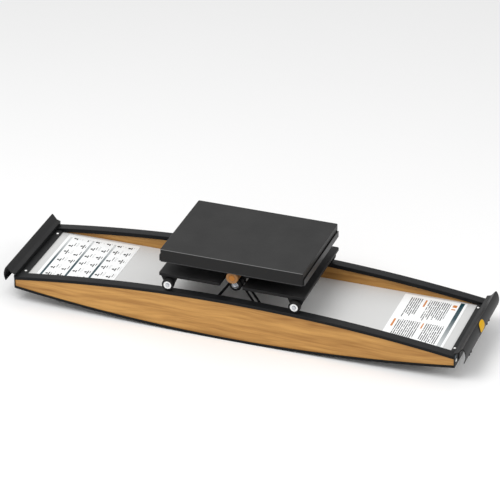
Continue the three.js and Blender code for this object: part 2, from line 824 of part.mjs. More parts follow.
function pulleyBolt(side) {
  const lockHigh = hangerInner - clearance;
  const lockLow = lockHigh - hangerLockHeight;
  const nutLow = pulleyOuter + clearance;
  const profile = [
    [0, lockLow],
    [hangerLockRadius, lockLow],
    [hangerLockRadius, lockHigh],
    [pulleyBoltRadius, lockHigh],
    [pulleyBoltRadius, nutLow],
    [pulleyNutRadius, nutLow],
    [pulleyNutRadius, nutLow + pulleyNutHeight],
    [pulleyCapRadius, nutLow + pulleyNutHeight],
    [pulleyCapRadius, nutLow + pulleyNutHeight + pulleyCapHeight],
    [0, nutLow + pulleyNutHeight + pulleyCapHeight],
  ];
  return turned(profile, 0, pulleyHeight, side, smallSegments);
}

// The cover is a pan turned upside down; its ends are cut short, where the tray's ends stand.
function platformCover() {
  const skirtLow = platformBottom + traySheet + clearance;
  const outer = slab(platformHalfLength, platformHalfDepth, platformCornerRadius, [
    [skirtLow, 0],
    [platformTop - coverBevel, 0],
    [platformTop, coverBevel],
  ]);
  const inner = slab(
    platformHalfLength - coverSheet,
    platformHalfDepth - coverSheet,
    platformCornerRadius - coverSheet,
    [
      [skirtLow - cutOverrun, 0],
      [platformTop - coverSheet, 0],
    ]
  );
  const sideLow = platformTop - coverSideFlange;
  const reach = platformHalfDepth - platformCornerRadius;
  const ends = [-1, 1].map((end) =>
    block(
      end * (platformHalfLength - platformCornerRadius),
      end * (platformHalfLength + cutOverrun),
      -reach,
      reach,
      skirtLow - cutOverrun,
      sideLow
    )
  );
  return cut(outer, inner, ...ends);
}

function platformTray() {
  const half = platformHalfLength + trayProud;
  const floorHalf = platformHalfDepth - platformCornerRadius - clearance;
  const floor = slab(platformHalfLength, platformHalfDepth, platformCornerRadius, [
    [platformBottom, 0],
    [platformBottom + traySheet, 0],
  ]);
  const ends = [-1, 1].flatMap((end) => [
    block(
      end * (platformHalfLength - platformCornerRadius),
      end * half,
      -floorHalf,
      floorHalf,
      platformBottom,
      platformBottom + traySheet
    ),
    block(
      end * (half - traySheet),
      end * half,
      -floorHalf,
      floorHalf,
      platformBottom,
      platformBottom + traySideFlange
    ),
  ]);
  return join(floor, ...ends);
}

function platformCore() {
  const inset = coverSheet + coreGap;
  const low = platformBottom + traySheet + clearance;
  return slab(platformHalfLength - inset, platformHalfDepth - inset, platformCornerRadius - inset, [
    [low, 0],
    [platformTop - coverSheet - clearance, 0],
  ]);
}

const finishes = {
  wood: { color: 0xc49050, roughness: 0.55, metalness: 0 },
  rail: { color: 0x2e3136, roughness: 0.6, metalness: 0 },
  deck: { color: 0xd4d5d4, roughness: 0.4, metalness: 0.3 },
  paper: { color: 0xf4f6f6, roughness: 0.5, metalness: 0 },
  black: { color: 0x2a2a2b, roughness: 0.5, metalness: 0.2 },
  satin: { color: 0x3c3c3c, roughness: 0.45, metalness: 0.1 },
  steel: { color: 0xc8cacc, roughness: 0.3, metalness: 0.9 },
  white: { color: 0xf2f2f0, roughness: 0.4, metalness: 0 },
  amber: { color: 0xb9742c, roughness: 0.35, metalness: 0 },
  tyre: { color: 0x161616, roughness: 0.8, metalness: 0 },
  cord: { color: 0x101010, roughness: 0.9, metalness: 0 },
  badge: { color: 0xf0c332, roughness: 0.35, metalness: 0 },
};

function material(name) {
  return new THREE.MeshStandardMaterial(finishes[name]);
}

const materials = Object.fromEntries(Object.keys(finishes).map((name) => [name, material(name)]));
const simulator = new THREE.Group();

function add(name, geometry, finish) {
  const mesh = new THREE.Mesh(geometry, materials[finish]);
  mesh.name = name;
  simulator.add(mesh);
}

const sides = { front: -1, rear: 1 };
const ends = { left: -1, right: 1 };

for (const [name, side] of Object.entries(sides)) {
  add(`${name}_side_board`, sideBoard(side), "wood");
  add(`${name}_rail_cap`, railCap(side), "rail");
  add(`${name}_bottom_strip`, bottomStrip(side), "rail");
}
add("deck_sheet", deckSheet(), "deck");
add("exercise_sheet", printedSheet(ends.left, exerciseSheetEndGap, exerciseSheetLength), "paper");
add("guide_sheet", printedSheet(ends.right, guideSheetEndGap, guideSheetLength), "paper");

for (const [endName, end] of Object.entries(ends)) {
  add(`${endName}_end_plate`, endPlate(end), "black");
  add(`${endName}_end_bar`, endBar(end), "black");
  add(`${endName}_end_hood`, endHood(end), "black");
  add(`${endName}_cord_rail`, cordRail(end), "black");
  add(`${endName}_anchor_rail`, anchorRail(end), "black");
  for (const [sideName, side] of Object.entries(sides)) {
    const barTop = endBarLow + endBarHeight;
    const barScrew = downScrew(end * endBarScrewX, side * endBarScrewSpread, barTop, endBarHeight);
    add(`${endName}_${sideName}_bar_screw`, barScrew, "white");
    const boardMiddle = side * (baseWidth / 2 - boardInset - boardThickness / 2);
    const screwHeight = bottomSagitta + faceScrewRise;
    const plateScrew = faceScrew(end, boardMiddle, screwHeight, baseHalfLength, faceScrewRadius);
    add(`${endName}_${sideName}_plate_screw`, plateScrew, "steel");
    add(`wheel_bracket_${sideName}_${endName}`, wheelBracket(end, side), "black");
    add(`wheel_bolt_${sideName}_${endName}`, wheelBolt(end, side), "steel");
    add(`wheel_${sideName}_${endName}`, wheel(end, side), "tyre");
  }
}
add("end_badge", endBadge(), "badge");

for (const [name, side] of Object.entries(sides)) {
  add(`${name}_outer_cord`, elasticCord(side * cordLanes[0]), "cord");
  add(`${name}_inner_cord`, elasticCord(side * cordLanes[1]), "cord");
  add(`${name}_pulley`, pulley(side), "tyre");
  add(`${name}_pulley_bolt`, pulleyBolt(side), "steel");
  add(`${name}_pulley_hanger`, pulleyHanger(side), "black");
  add(`${name}_rocker_roller`, rockerRoller(side), "amber");
  add(`${name}_pivot_lug`, pivotLug(side), "black");
}
add("carriage_plate", carriagePlate(), "satin");
add("pivot_saddle", pivotSaddle(), "black");
add("pivot_shaft", pivotShaft(), "steel");
add("platform_cover", platformCover(), "satin");
add("platform_tray", platformTray(), "satin");
add("platform_core", platformCore(), "satin");

export default simulator;
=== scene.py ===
"""The looks of a ski simulator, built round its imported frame. Metres, +X along the base, +Z up."""

import json
import math

import bmesh
import bpy
import numpy as np
from bpy.props import FloatProperty, FloatVectorProperty, PointerProperty
from bpy.types import Operator, Panel, PropertyGroup
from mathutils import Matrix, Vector

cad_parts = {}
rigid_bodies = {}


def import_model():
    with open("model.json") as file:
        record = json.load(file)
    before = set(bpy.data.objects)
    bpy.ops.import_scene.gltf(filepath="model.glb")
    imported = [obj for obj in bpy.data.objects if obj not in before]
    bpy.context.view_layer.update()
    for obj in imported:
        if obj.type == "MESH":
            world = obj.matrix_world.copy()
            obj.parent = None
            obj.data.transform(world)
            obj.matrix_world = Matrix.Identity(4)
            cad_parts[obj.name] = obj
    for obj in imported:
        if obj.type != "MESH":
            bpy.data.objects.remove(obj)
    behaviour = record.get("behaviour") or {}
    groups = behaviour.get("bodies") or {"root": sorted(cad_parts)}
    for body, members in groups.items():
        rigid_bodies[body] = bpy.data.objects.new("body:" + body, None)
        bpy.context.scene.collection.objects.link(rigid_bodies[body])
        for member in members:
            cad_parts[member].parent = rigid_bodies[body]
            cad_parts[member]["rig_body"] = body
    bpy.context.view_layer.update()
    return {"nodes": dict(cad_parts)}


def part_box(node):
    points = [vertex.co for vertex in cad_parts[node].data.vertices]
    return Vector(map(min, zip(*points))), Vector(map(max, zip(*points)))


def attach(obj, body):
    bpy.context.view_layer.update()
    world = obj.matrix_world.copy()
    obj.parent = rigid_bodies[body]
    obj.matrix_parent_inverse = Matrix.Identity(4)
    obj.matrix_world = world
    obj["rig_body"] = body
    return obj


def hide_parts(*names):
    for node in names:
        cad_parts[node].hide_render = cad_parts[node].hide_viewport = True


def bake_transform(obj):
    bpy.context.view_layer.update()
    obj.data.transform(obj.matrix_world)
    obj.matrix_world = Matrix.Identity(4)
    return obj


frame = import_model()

bl_info = {
    "name": "Ski simulator",
    "version": (1, 0, 0),
    "blender": (4, 5, 0),
    "location": "View3D > Sidebar > Ski simulator",
    "description": "Builds the looks of a ski simulator round its packed frame",
    "category": "Object",
}

MM = 0.001
GAP = 0.3 * MM
CREASE = math.radians(32)
RIM_STEPS = 3
ARC_STATIONS = 129
TUBE_SIDES = 14
ROUND_SEGMENTS = 48
SIDES = {"front": -1, "rear": 1}
ENDS = {"left": -1, "right": 1}
# For each axis, the two axes across it and then its own
PLANE_AXES = {"x": (1, 2, 0), "y": (0, 2, 1), "z": (0, 1, 2)}


def srgb(red, green, blue):
    """A colour of 0 to 255 as linear light: the usual curve, with its straight foot."""
    share = np.array((red, green, blue)) / 255
    linear = np.where(share <= 0.04045, share / 12.92, ((share + 0.055) / 1.055) ** 2.4)
    return tuple(float(value) for value in linear)


def colour(name, description, *levels):
    return FloatVectorProperty(
        name=name, description=description, subtype="COLOR", size=3, min=0, max=1, default=srgb(*levels)
    )


def length(name, description, millimetres):
    return FloatProperty(
        name=name, description=description, unit="LENGTH", min=0, precision=5, default=millimetres * MM
    )


# Shapes


class Shell:
    """One closed surface: its points, its four-sided faces and its many-sided caps."""

    def __init__(self, points, quads, caps=()):
        self.points = points
        self.quads = quads
        self.caps = list(caps)


def unit(vectors):
    return vectors / np.linalg.norm(vectors, axis=-1, keepdims=True)


def grid_quads(rows, columns, wrap_rows=False, wrap_columns=False):
    """The faces between neighbours of a grid, whose last row or column may join the first."""
    row = np.arange(rows if wrap_rows else rows - 1)[:, None]
    column = np.arange(columns if wrap_columns else columns - 1)[None, :]
    below = (row + 1) % rows * columns
    beside = (column + 1) % columns
    here = row * columns
    corners = (here + column, here + beside, below + beside, below + column)
    return np.stack(np.broadcast_arrays(*corners), axis=-1).reshape(-1, 4)


def capped(points):
    """A grid of rings, closed round each ring and by a flat face at the first and the last."""
    rows, columns = points.shape[:2]
    ring = np.arange(columns)
    caps = (ring, ring + (rows - 1) * columns)
    return Shell(points.reshape(-1, 3), grid_quads(rows, columns, wrap_columns=True), caps)


def rounded(corners, radius, steps=4, closed=True):
    """Each corner becomes an arc that touches both its sides.

    It starts at the radius over the tangent of half the corner's angle, or a little under half of
    the shorter side, and turns about a centre on the corner's bisector.
    """
    least_radius = 1e-7
    side_share = 0.48
    corners = np.asarray(corners, float)
    radius = np.broadcast_to(np.asarray(radius, float), len(corners)) + least_radius
    back = np.roll(corners, 1, axis=0) - corners
    ahead = np.roll(corners, -1, axis=0) - corners
    shorter = np.minimum(np.linalg.norm(back, axis=1), np.linalg.norm(ahead, axis=1))
    back, ahead = unit(back), unit(ahead)
    half = np.arccos(np.clip((back * ahead).sum(1), -1, 1)) / 2
    reach = np.minimum(radius / np.tan(half), side_share * shorter)
    bisector = back + ahead
    straight = np.linalg.norm(bisector, axis=1) < 1e-9
    bisector[straight] = (back[straight])[:, ::-1] * (1, -1)
    centre = corners + unit(bisector) * (reach / np.cos(half))[:, None]
    start = corners + back * reach[:, None] - centre
    end = corners + ahead * reach[:, None] - centre
    total = np.maximum(math.pi - 2 * half, 1e-6)[:, None, None]
    share = np.linspace(0, 1, steps + 1)[None, :, None]
    weights = np.sin((1 - share) * total), np.sin(share * total)
    arcs = (weights[0] * start[:, None] + weights[1] * end[:, None]) / np.sin(total)
    arcs = centre[:, None] + arcs
    if closed:
        return arcs.reshape(-1, 2)
    return np.concatenate([corners[:1], arcs[1:-1].reshape(-1, 2), corners[-1:]])


def left_turning(outline):
    """The outline in the order that keeps its inside on the left."""
    ahead = np.roll(outline, -1, axis=0)
    area = (outline[:, 0] * ahead[:, 1] - ahead[:, 0] * outline[:, 1]).sum()
    return outline if area > 0 else outline[::-1]


def side_normals(into, out):
    """How far a corner moves when both its sides move by one.

    It is the sum of the two sides' normals over one plus their product.
    """
    first = unit(np.stack([into[:, 1], -into[:, 0]], axis=-1))
    second = unit(np.stack([out[:, 1], -out[:, 0]], axis=-1))
    return (first + second) / (1 + (first * second).sum(-1, keepdims=True))


def path_normals(path):
    """The unit-offset directions along an open path, to the right of its run."""
    steps = np.diff(path, axis=0)
    return side_normals(np.concatenate([steps[:1], steps]), np.concatenate([steps, steps[-1:]]))


def outline_normals(outline):
    """The outward unit-offset directions at the corners of a closed outline that turns left."""
    into = outline - np.roll(outline, 1, axis=0)
    out = np.roll(outline, -1, axis=0) - outline
    return side_normals(into, out)


def prism(outline, low, high, edge, axis="z"):
    """An outline carried along an axis with both rims rounded.

    Near each end the outline draws in by the edge times one less the sine of a quarter turn, while
    its level moves by the edge times one less the cosine.
    """
    outline = left_turning(np.asarray(outline, float))
    turn = np.linspace(0, math.pi / 2, RIM_STEPS + 1)
    inset = edge * (1 - np.sin(turn))
    rise = edge * (1 - np.cos(turn))
    insets = np.concatenate([inset, inset[::-1]])
    levels = np.concatenate([low + rise, high - rise[::-1]])
    flat = outline[None] - insets[:, None, None] * outline_normals(outline)[None]
    first, second, along = PLANE_AXES[axis]
    points = np.empty((len(levels), len(outline), 3))
    points[..., first] = flat[..., 0]
    points[..., second] = flat[..., 1]
    points[..., along] = levels[:, None]
    return capped(points)


def rectangle(low_u, high_u, low_v, high_v):
    return [(low_u, low_v), (high_u, low_v), (high_u, high_v), (low_u, high_v)]


def rod(radius, low, high):
    """The half section of a plain rod, to be turned."""
    return [(0, low), (radius, low), (radius, high), (0, high)]


def full_turn(segments):
    """A column of equal angles round a whole turn."""
    return np.arange(segments)[:, None] / segments * math.tau


def from_flat(turn):
    """The angle from the middle of the nearest of a hexagon's six flats."""
    return (turn + math.pi / 6) % (math.pi / 3) - math.pi / 6


def revolved(radius, place, turn, centre, axis, closed=False):
    """A grid of radii and places along an axis, set round the centre.

    Across the axis a point is the centre plus its radius times the turn's cosine and sine.
    """
    first, second, along = PLANE_AXES[axis]
    points = np.empty(np.broadcast_shapes(radius.shape, turn.shape) + (3,))
    points[..., first] = centre[first] + radius * np.cos(turn)
    points[..., second] = centre[second] + radius * np.sin(turn)
    points[..., along] = place
    rows, columns = points.shape[:2]
    return Shell(points.reshape(-1, 3), grid_quads(rows, columns, wrap_rows=True, wrap_columns=closed))


def turned(profile, centre, axis="y", segments=ROUND_SEGMENTS, closed=False):
    """A profile of radius and place along the axis, turned round the axis through the centre."""
    profile = np.asarray(profile, float)
    return revolved(profile[:, 0], profile[:, 1], full_turn(segments), centre, axis, closed)


def hexagon(centre, across, low, high):
    """A hexagon head along Y: half its width over the cosine of the angle from the nearest flat.

    A circle a little narrower than the flats bounds the face, and the sides end lower by the
    tangent of 30 degrees times how far they stand outside it.
    """
    face_share = 0.95
    turn = full_turn(ROUND_SEGMENTS)
    side = across / 2 / np.cos(from_flat(turn))
    face = np.full_like(side, across / 2 * face_share)
    none = np.zeros_like(side)
    sign = math.copysign(1, high - low)
    shoulder = high - sign * (side - face) * math.tan(math.pi / 6)
    radius = np.concatenate([none, side, side, face, none], axis=1)
    place = np.concatenate([none + low, none + low, shoulder, none + high, none + high], axis=1)
    return revolved(radius, place, turn, centre, "y")


def screw_head(centre, radius, height, axis, sign, socket=False):
    """A domed head on a polar grid, less a hexagon socket with soft sides if it has one.

    The dome falls as the fourth power of the distance from the middle.
    """
    rings = 18
    dome_fall = 0.55
    socket_reach = 0.48
    socket_depth = 0.6
    soft = 0.09
    turn = full_turn(ROUND_SEGMENTS)
    away = np.linspace(0, 1, rings)[None, :] * np.ones_like(turn)
    top = height * (1 - dome_fall * away**4)
    if socket:
        hole = np.clip((socket_reach - away * np.cos(from_flat(turn))) / soft + 0.5, 0, 1)
        top = top - socket_depth * height * hole
    rim = np.ones_like(turn)
    radii = np.concatenate([away, rim, 0 * rim], axis=1) * radius
    levels = np.concatenate([top, 0 * rim, 0 * rim], axis=1)
    along = PLANE_AXES[axis][2]
    return revolved(radii, centre[along] + sign * levels, turn, centre, axis)


def along_arc(profile, face, side, half_length, radius, crown, bend):
    """A profile of inset and rise carried along an arc in a vertical plane.

    The run is the radius times the sine of the angle, and the arc falls, or with a negative bend
    climbs, by the radius times one less the cosine.
    """
    angle = np.linspace(-1, 1, ARC_STATIONS) * math.asin(half_length / radius)
    points = np.empty((ARC_STATIONS, len(profile), 3))
    points[..., 0] = (radius * np.sin(angle))[:, None]
    points[..., 1] = side * (face - profile[:, 0])
    points[..., 2] = (crown - bend * radius * (1 - np.cos(angle)))[:, None] + profile[:, 1]
    return capped(points)


def tube(path, y, radius):
    """A round tube along an open path in the XZ plane.

    Each ring is the radius times the cosine of a turn along the path's normal, and times its sine
    across. The map's u goes round once and its v is the run in metres.
    """
    normal = unit(path_normals(path))
    turn = np.arange(TUBE_SIDES) / TUBE_SIDES * math.tau
    points = np.empty((len(path), TUBE_SIDES, 3))
    points[..., 0] = path[:, :1] + radius * np.cos(turn) * normal[:, :1]
    points[..., 1] = y + radius * np.sin(turn)
    points[..., 2] = path[:, 1:] + radius * np.cos(turn) * normal[:, 1:]
    run = np.concatenate([[0], np.cumsum(np.linalg.norm(np.diff(path, axis=0), axis=1))])
    shell = capped(points)
    row = np.repeat(np.arange(len(path) - 1), TUBE_SIDES)
    column = np.tile(np.arange(TUBE_SIDES), len(path) - 1)
    corner_u = np.stack([column, column + 1, column + 1, column], axis=-1) / TUBE_SIDES
    corner_v = run[np.stack([row, row, row + 1, row + 1], axis=-1)]
    caps = np.zeros((2 * TUBE_SIDES, 2))
    shell.map = np.concatenate([np.stack([corner_u, corner_v], axis=-1).reshape(-1, 2), caps])
    return shell


def outer_inner(low, high, side):
    """The distances of a box's outer and inner faces from the middle plane, times the side."""
    return side * max(abs(low.y), abs(high.y)), side * min(abs(low.y), abs(high.y))


# Pieces


def settle(mesh, doubled, flat=None):
    """Merges doubled points, turns faces outwards and smooths all but the sharp edges.

    With an angle for flat, faces that lean less than that are first made into one.
    """
    form = bmesh.new()
    form.from_mesh(mesh)
    bmesh.ops.remove_doubles(form, verts=form.verts, dist=doubled)
    if flat:
        bmesh.ops.dissolve_limit(form, angle_limit=flat, verts=form.verts, edges=form.edges)
    bmesh.ops.recalc_face_normals(form, faces=form.faces)
    form.to_mesh(mesh)
    form.free()
    mesh.shade_smooth()
    mesh.set_sharp_from_angle(angle=CREASE)


def placed(name, mesh, finish, body, stands_for):
    made = bpy.data.objects.new(name, mesh)
    bpy.context.scene.collection.objects.link(made)
    mesh.materials.clear()
    mesh.materials.append(finish)
    if body:
        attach(made, body)
    if stands_for:
        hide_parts(*stands_for)
    return made


def piece(name, shells, finish, body, stands_for=()):
    """Closed shells as one object that rides on a body and may stand for CAD nodes."""
    faces = []
    caps = []
    start = 0
    for shell in shells:
        faces.append(shell.quads + start)
        caps += [(cap + start).tolist() for cap in shell.caps]
        start += len(shell.points)
    points = np.concatenate([shell.points for shell in shells])
    mesh = bpy.data.meshes.new(name)
    mesh.from_pydata(points, [], np.concatenate(faces).tolist() + caps)
    mapped = hasattr(shells[0], "map")
    if mapped:
        layer = mesh.uv_layers.new(name="run")
        places = np.concatenate([shell.map for shell in shells])
        layer.data.foreach_set("uv", places.astype(np.float32).ravel())
    settle(mesh, 1e-7)
    made = placed(name, mesh, finish, body, stands_for)
    if not mapped:
        weighted = made.modifiers.new("even shading", "WEIGHTED_NORMAL")
        weighted.keep_sharp = True
    return made


def softened(node, width, finish):
    """A merged copy of a CAD solid, its flat faces made whole and its edges rounded."""
    mesh = frame["nodes"][node].data.copy()
    mesh.name = node + "_soft"
    settle(mesh, 2e-6, math.radians(1.5))
    body = frame["nodes"][node]["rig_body"]
    made = placed(node + "_soft", mesh, finish, body, [node])
    bevel = made.modifiers.new("rounded edges", "BEVEL")
    bevel.width = width
    bevel.segments = 2
    bevel.limit_method = "ANGLE"
    bevel.angle_limit = CREASE
    weighted = made.modifiers.new("even shading", "WEIGHTED_NORMAL")
    weighted.keep_sharp = False


def dress(node, finish):
    """A CAD node that stays gets its finish in its object's own slot."""
    kept = frame["nodes"][node]
    if not kept.material_slots:
        raise RuntimeError(node + " has no material slot to dress")
    for held in kept.material_slots:
        held.link = "OBJECT"
        held.material = finish


# Finishes


class Net:
    """Adds nodes to one tree. An input takes a plain value or another node's output."""

    def __init__(self, tree):
        self.tree = tree

    def feed(self, socket, value):
        if isinstance(value, bpy.types.NodeSocket):
            self.tree.links.new(value, socket)
        else:
            socket.default_value = value

    def add(self, kind, inputs, output=0, **settings):
        node = self.tree.nodes.new(kind)
        for name, value in settings.items():
            setattr(node, name, value)
        for key, value in inputs.items():
            self.feed(node.inputs[key], value)
        return node.outputs[output]

    def place(self, group, inputs):
        node = self.tree.nodes.new("ShaderNodeGroup")
        node.node_tree = group
        for key, value in inputs.items():
            self.feed(node.inputs[key], value)
        return node.outputs

    def math(self, operation, *values):
        return self.add("ShaderNodeMath", dict(enumerate(values)), operation=operation)

    def mix(self, share, first, second, blend="MIX"):
        inputs = {0: share, 6: first, 7: second}
        return self.add("ShaderNodeMix", inputs, 2, data_type="RGBA", blend_type=blend)

    def object_place(self):
        return self.add("ShaderNodeTexCoord", {}, "Object")

    def facing(self):
        return self.add("ShaderNodeNewGeometry", {}, "Normal")

    def part(self, vector, axis):
        return self.add("ShaderNodeSeparateXYZ", {0: vector}, axis)

    def noise(self, vector, scale, detail, roughness):
        inputs = {"Vector": vector, "Scale": scale, "Detail": detail, "Roughness": roughness}
        return self.add("ShaderNodeTexNoise", inputs)

    def scaled(self, vector, scale):
        return self.add("ShaderNodeMapping", {"Vector": vector, "Scale": scale})

    def stretched(self, vector, scale, detail, roughness):
        """Noise whose scale differs along the three axes."""
        return self.noise(self.scaled(vector, scale), 1.0, detail, roughness)

    def bump(self, height, distance, strength=1.0):
        return self.add("ShaderNodeBump", {"Height": height, "Distance": distance, "Strength": strength})

    def ranged(self, value, low, high, to_low=0.0, to_high=1.0):
        return self.add("ShaderNodeMapRange", {0: value, 1: low, 2: high, 3: to_low, 4: to_high})

    def between(self, value, low, high):
        above = self.math("GREATER_THAN", value, low)
        return self.math("MULTIPLY", above, self.math("LESS_THAN", value, high))

    def chained(self, operation, masks):
        found = masks[0]
        for mask in masks[1:]:
            found = self.math(operation, found, mask)
        return found

    def all_of(self, *masks):
        return self.chained("MULTIPLY", masks)

    def any_of(self, *masks):
        return self.chained("MAXIMUM", masks)


def shared_group(name, inputs, outputs, fill):
    """A node group made once: float inputs with their defaults beside a vector, and float outputs."""
    known = bpy.data.node_groups.get(name)
    if known:
        return known
    tree = bpy.data.node_groups.new(name, "ShaderNodeTree")
    tree.interface.new_socket(name="Vector", in_out="INPUT", socket_type="NodeSocketVector")
    for label, default in inputs.items():
        socket = tree.interface.new_socket(name=label, in_out="INPUT", socket_type="NodeSocketFloat")
        socket.default_value = default
    for label in outputs:
        tree.interface.new_socket(name=label, in_out="OUTPUT", socket_type="NodeSocketFloat")
    source = tree.nodes.new("NodeGroupInput")
    target = tree.nodes.new("NodeGroupOutput")
    fill(Net(tree), source.outputs, target.inputs)
    return tree


def grain_group():
    """Fine texture for bump, and a slow drift of the colour's lightness."""
    slow_share = 0.012

    def fill(net, source, target):
        slow_scale = net.math("MULTIPLY", source["Scale"], slow_share)
        fine = net.noise(source["Vector"], source["Scale"], 3.0, 0.6)
        slow = net.noise(source["Vector"], slow_scale, 3.0, 0.55)
        centred = net.math("SUBTRACT", slow, 0.5)
        drift = net.math("MULTIPLY", centred, net.math("MULTIPLY", source["Drift"], 2.0))
        net.feed(target["Height"], fine)
        net.feed(target["Shade"], net.math("ADD", drift, 1.0))

    return shared_group("Surface grain", {"Scale": 800.0, "Drift": 0.1}, ["Height", "Shade"], fill)


def edge_wear_and_light_group():
    """A mask of rubbed edges, broken up by noise, which on the platform is mostly a painted highlight and on
    the amber roller a painted shade.

    An edge is where a rounded normal leans away from the face's own.
    """

    def fill(net, source, target):
        soft = net.add("ShaderNodeBevel", {"Radius": source["Width"]}, samples=6)
        inputs = {0: soft, 1: net.facing()}
        match = net.add("ShaderNodeVectorMath", inputs, "Value", operation="DOT_PRODUCT")
        lean = net.ranged(match, 0.995, 0.86)
        broken = net.ranged(net.noise(source["Vector"], 140.0, 4.0, 0.65), 0.36, 0.62)
        net.feed(target["Mask"], net.all_of(lean, broken, source["Amount"]))

    return shared_group("Edge wear and painted edge light", {"Width": 0.001, "Amount": 0.3}, ["Mask"], fill)


def dust_group():
    """A mask of settled dust: faces that look up, in soft patches."""

    def fill(net, source, target):
        up = net.ranged(net.part(net.facing(), 2), 0.4, 0.95)
        patches = net.ranged(net.noise(source["Vector"], 9.0, 5.0, 0.6), 0.35, 0.7)
        specks = net.ranged(net.noise(source["Vector"], 900.0, 1.0, 0.5), 0.3, 0.7, 0.6, 1.0)
        net.feed(target["Mask"], net.all_of(up, patches, specks, source["Amount"]))

    return shared_group("Settled dust", {"Amount": 0.1}, ["Mask"], fill)


def new_finish(name):
    finish = bpy.data.materials.new(name)
    finish.use_nodes = True
    return finish, Net(finish.node_tree), finish.node_tree.nodes["Principled BSDF"].inputs


# Each finish's roughness, texture scale, bump in metres, drift of its lightness, worn edges, dust
# and mirror level
LOOKS = {
    "black powder coat": (0.46, 1300, 0.00005, 0.06, 0.05, 0.02, 0.16),
    "zinc plated steel": (0.24, 500, 0.00001, 0.12, 0.05, 0.0, 0.4),
    "black nylon": (0.5, 700, 0.00004, 0.06, 0.03, 0.02, 0.2),
    "white screw caps": (0.3, 400, 0.00001, 0.02, 0.0, 0.0, 0.4),
    "edge trim": (0.42, 800, 0.00003, 0.06, 0.05, 0.02, 0.14),
    "deck lacquer": (0.36, 500, 0.00002, 0.03, 0.0, 0.06, 0.35),
    "grey plug caps": (0.35, 400, 0.00001, 0.02, 0.0, 0.0, 0.4),
    "hood powder coat": (0.42, 1200, 0.00004, 0.06, 0.06, 0.02, 0.17),
    "yellow badge": (0.4, 400, 0.00001, 0.03, 0.0, 0.0, 0.06),
    "plate powder coat": (0.45, 1200, 0.00004, 0.06, 0.08, 0.03, 0.16),
    "wheel tread": (0.6, 600, 0.00005, 0.06, 0.0, 0.03, 0.2),
    "pale hub": (0.35, 400, 0.00002, 0.03, 0.0, 0.0, 0.4),
    "grey plated nuts": (0.2, 500, 0.00001, 0.1, 0.1, 0.0, 0.4),
    # The amber roller's strong worn edges are a painted shade: its rounded rims turn dark brown.
    "amber roller": (0.4, 300, 0.00003, 0.1, 0.6, 0.0, 0.2),
    "orange plug": (0.4, 300, 0.00002, 0.1, 0.0, 0.0, 0.2),
    # The platform's worn edges are mostly a painted highlight along its rounded edges.
    "platform powder coat": (0.42, 1400, 0.00004, 0.03, 0.3, 0.02, 0.17),
    "tray powder coat": (0.42, 1400, 0.00004, 0.05, 0.3, 0.03, 0.25),
    "core darkened as groove shade": (0.6, 200, 0.0001, 0.15, 0.0, 0.0, 0.1),
}
METALS = ("zinc plated steel", "grey plated nuts")
# Edge tones: near white for the nuts' rubbed rims, and dark brown for the amber roller's rims as a painted
# shade.
EDGE_WEAR_AND_SHADE_TONES = {"grey plated nuts": srgb(240, 240, 240), "amber roller": srgb(120, 74, 38)}


def painted_edge_highlight(net):
    """A mask of painted highlight on roundings that face partly up and partly to the front or the rear."""
    across = net.math("ABSOLUTE", net.part(net.facing(), 1))
    up = net.part(net.facing(), 2)
    return net.all_of(net.ranged(across, 0.25, 0.45), net.ranged(up, 0.2, 0.4))


def coated(name, tone, rim=0.0, subsurface=0.0):
    """A painted, moulded or plated finish with fine texture, rubbed edges and a little dust. On the platform
    the rubbed edges are mostly a painted highlight, and on the amber roller a painted shade.

    The rim is how far a painted highlight turns the rounding of a front or rear top edge pale.
    """
    known = bpy.data.materials.get(name)
    if known:
        return known
    uneven_share, dust_share, bump_strength = 0.12, 0.4, 0.8
    dust_tone = (0.55, 0.54, 0.52, 1)
    roughness, scale, bump, drift, wear, dust, mirror = LOOKS[name]
    finish, net, shader = new_finish(name)
    vector = net.object_place()
    grain = net.place(grain_group(), {"Vector": vector, "Scale": scale, "Drift": drift})
    worn = net.place(edge_wear_and_light_group(), {"Vector": vector, "Amount": wear})["Mask"]
    dusty = net.place(dust_group(), {"Vector": vector, "Amount": dust})["Mask"]
    shaded = net.mix(1.0, (*tone, 1), grain["Shade"], "MULTIPLY")
    # Edges turn paler for wear, except on the amber roller, where the darker tone is painted shade.
    edge_tone = EDGE_WEAR_AND_SHADE_TONES.get(name) or tuple(0.35 + 0.5 * value for value in tone)
    # The rim adds a painted highlight along the rounded front and rear top edges.
    if rim:
        worn = net.math("MAXIMUM", worn, net.math("MULTIPLY", painted_edge_highlight(net), rim))
    worn_and_painted_edges = net.mix(worn, shaded, (*edge_tone, 1))
    net.feed(shader["Base Color"], net.mix(dusty, worn_and_painted_edges, dust_tone))
    uneven = net.math("SUBTRACT", grain["Height"], 0.5)
    rough = net.math("MULTIPLY_ADD", uneven, uneven_share, roughness)
    net.feed(shader["Roughness"], net.math("MULTIPLY_ADD", dusty, dust_share, rough))
    net.feed(shader["Normal"], net.bump(grain["Height"], bump, bump_strength))
    shader["Metallic"].default_value = float(name in METALS)
    shader["Specular IOR Level"].default_value = mirror
    if subsurface:
        shader["Subsurface Weight"].default_value = subsurface
        shader["Subsurface Radius"].default_value = (0.006, 0.003, 0.001)
    return finish


def black_steel(settings):
    return coated("black powder coat", settings.steel_tone)


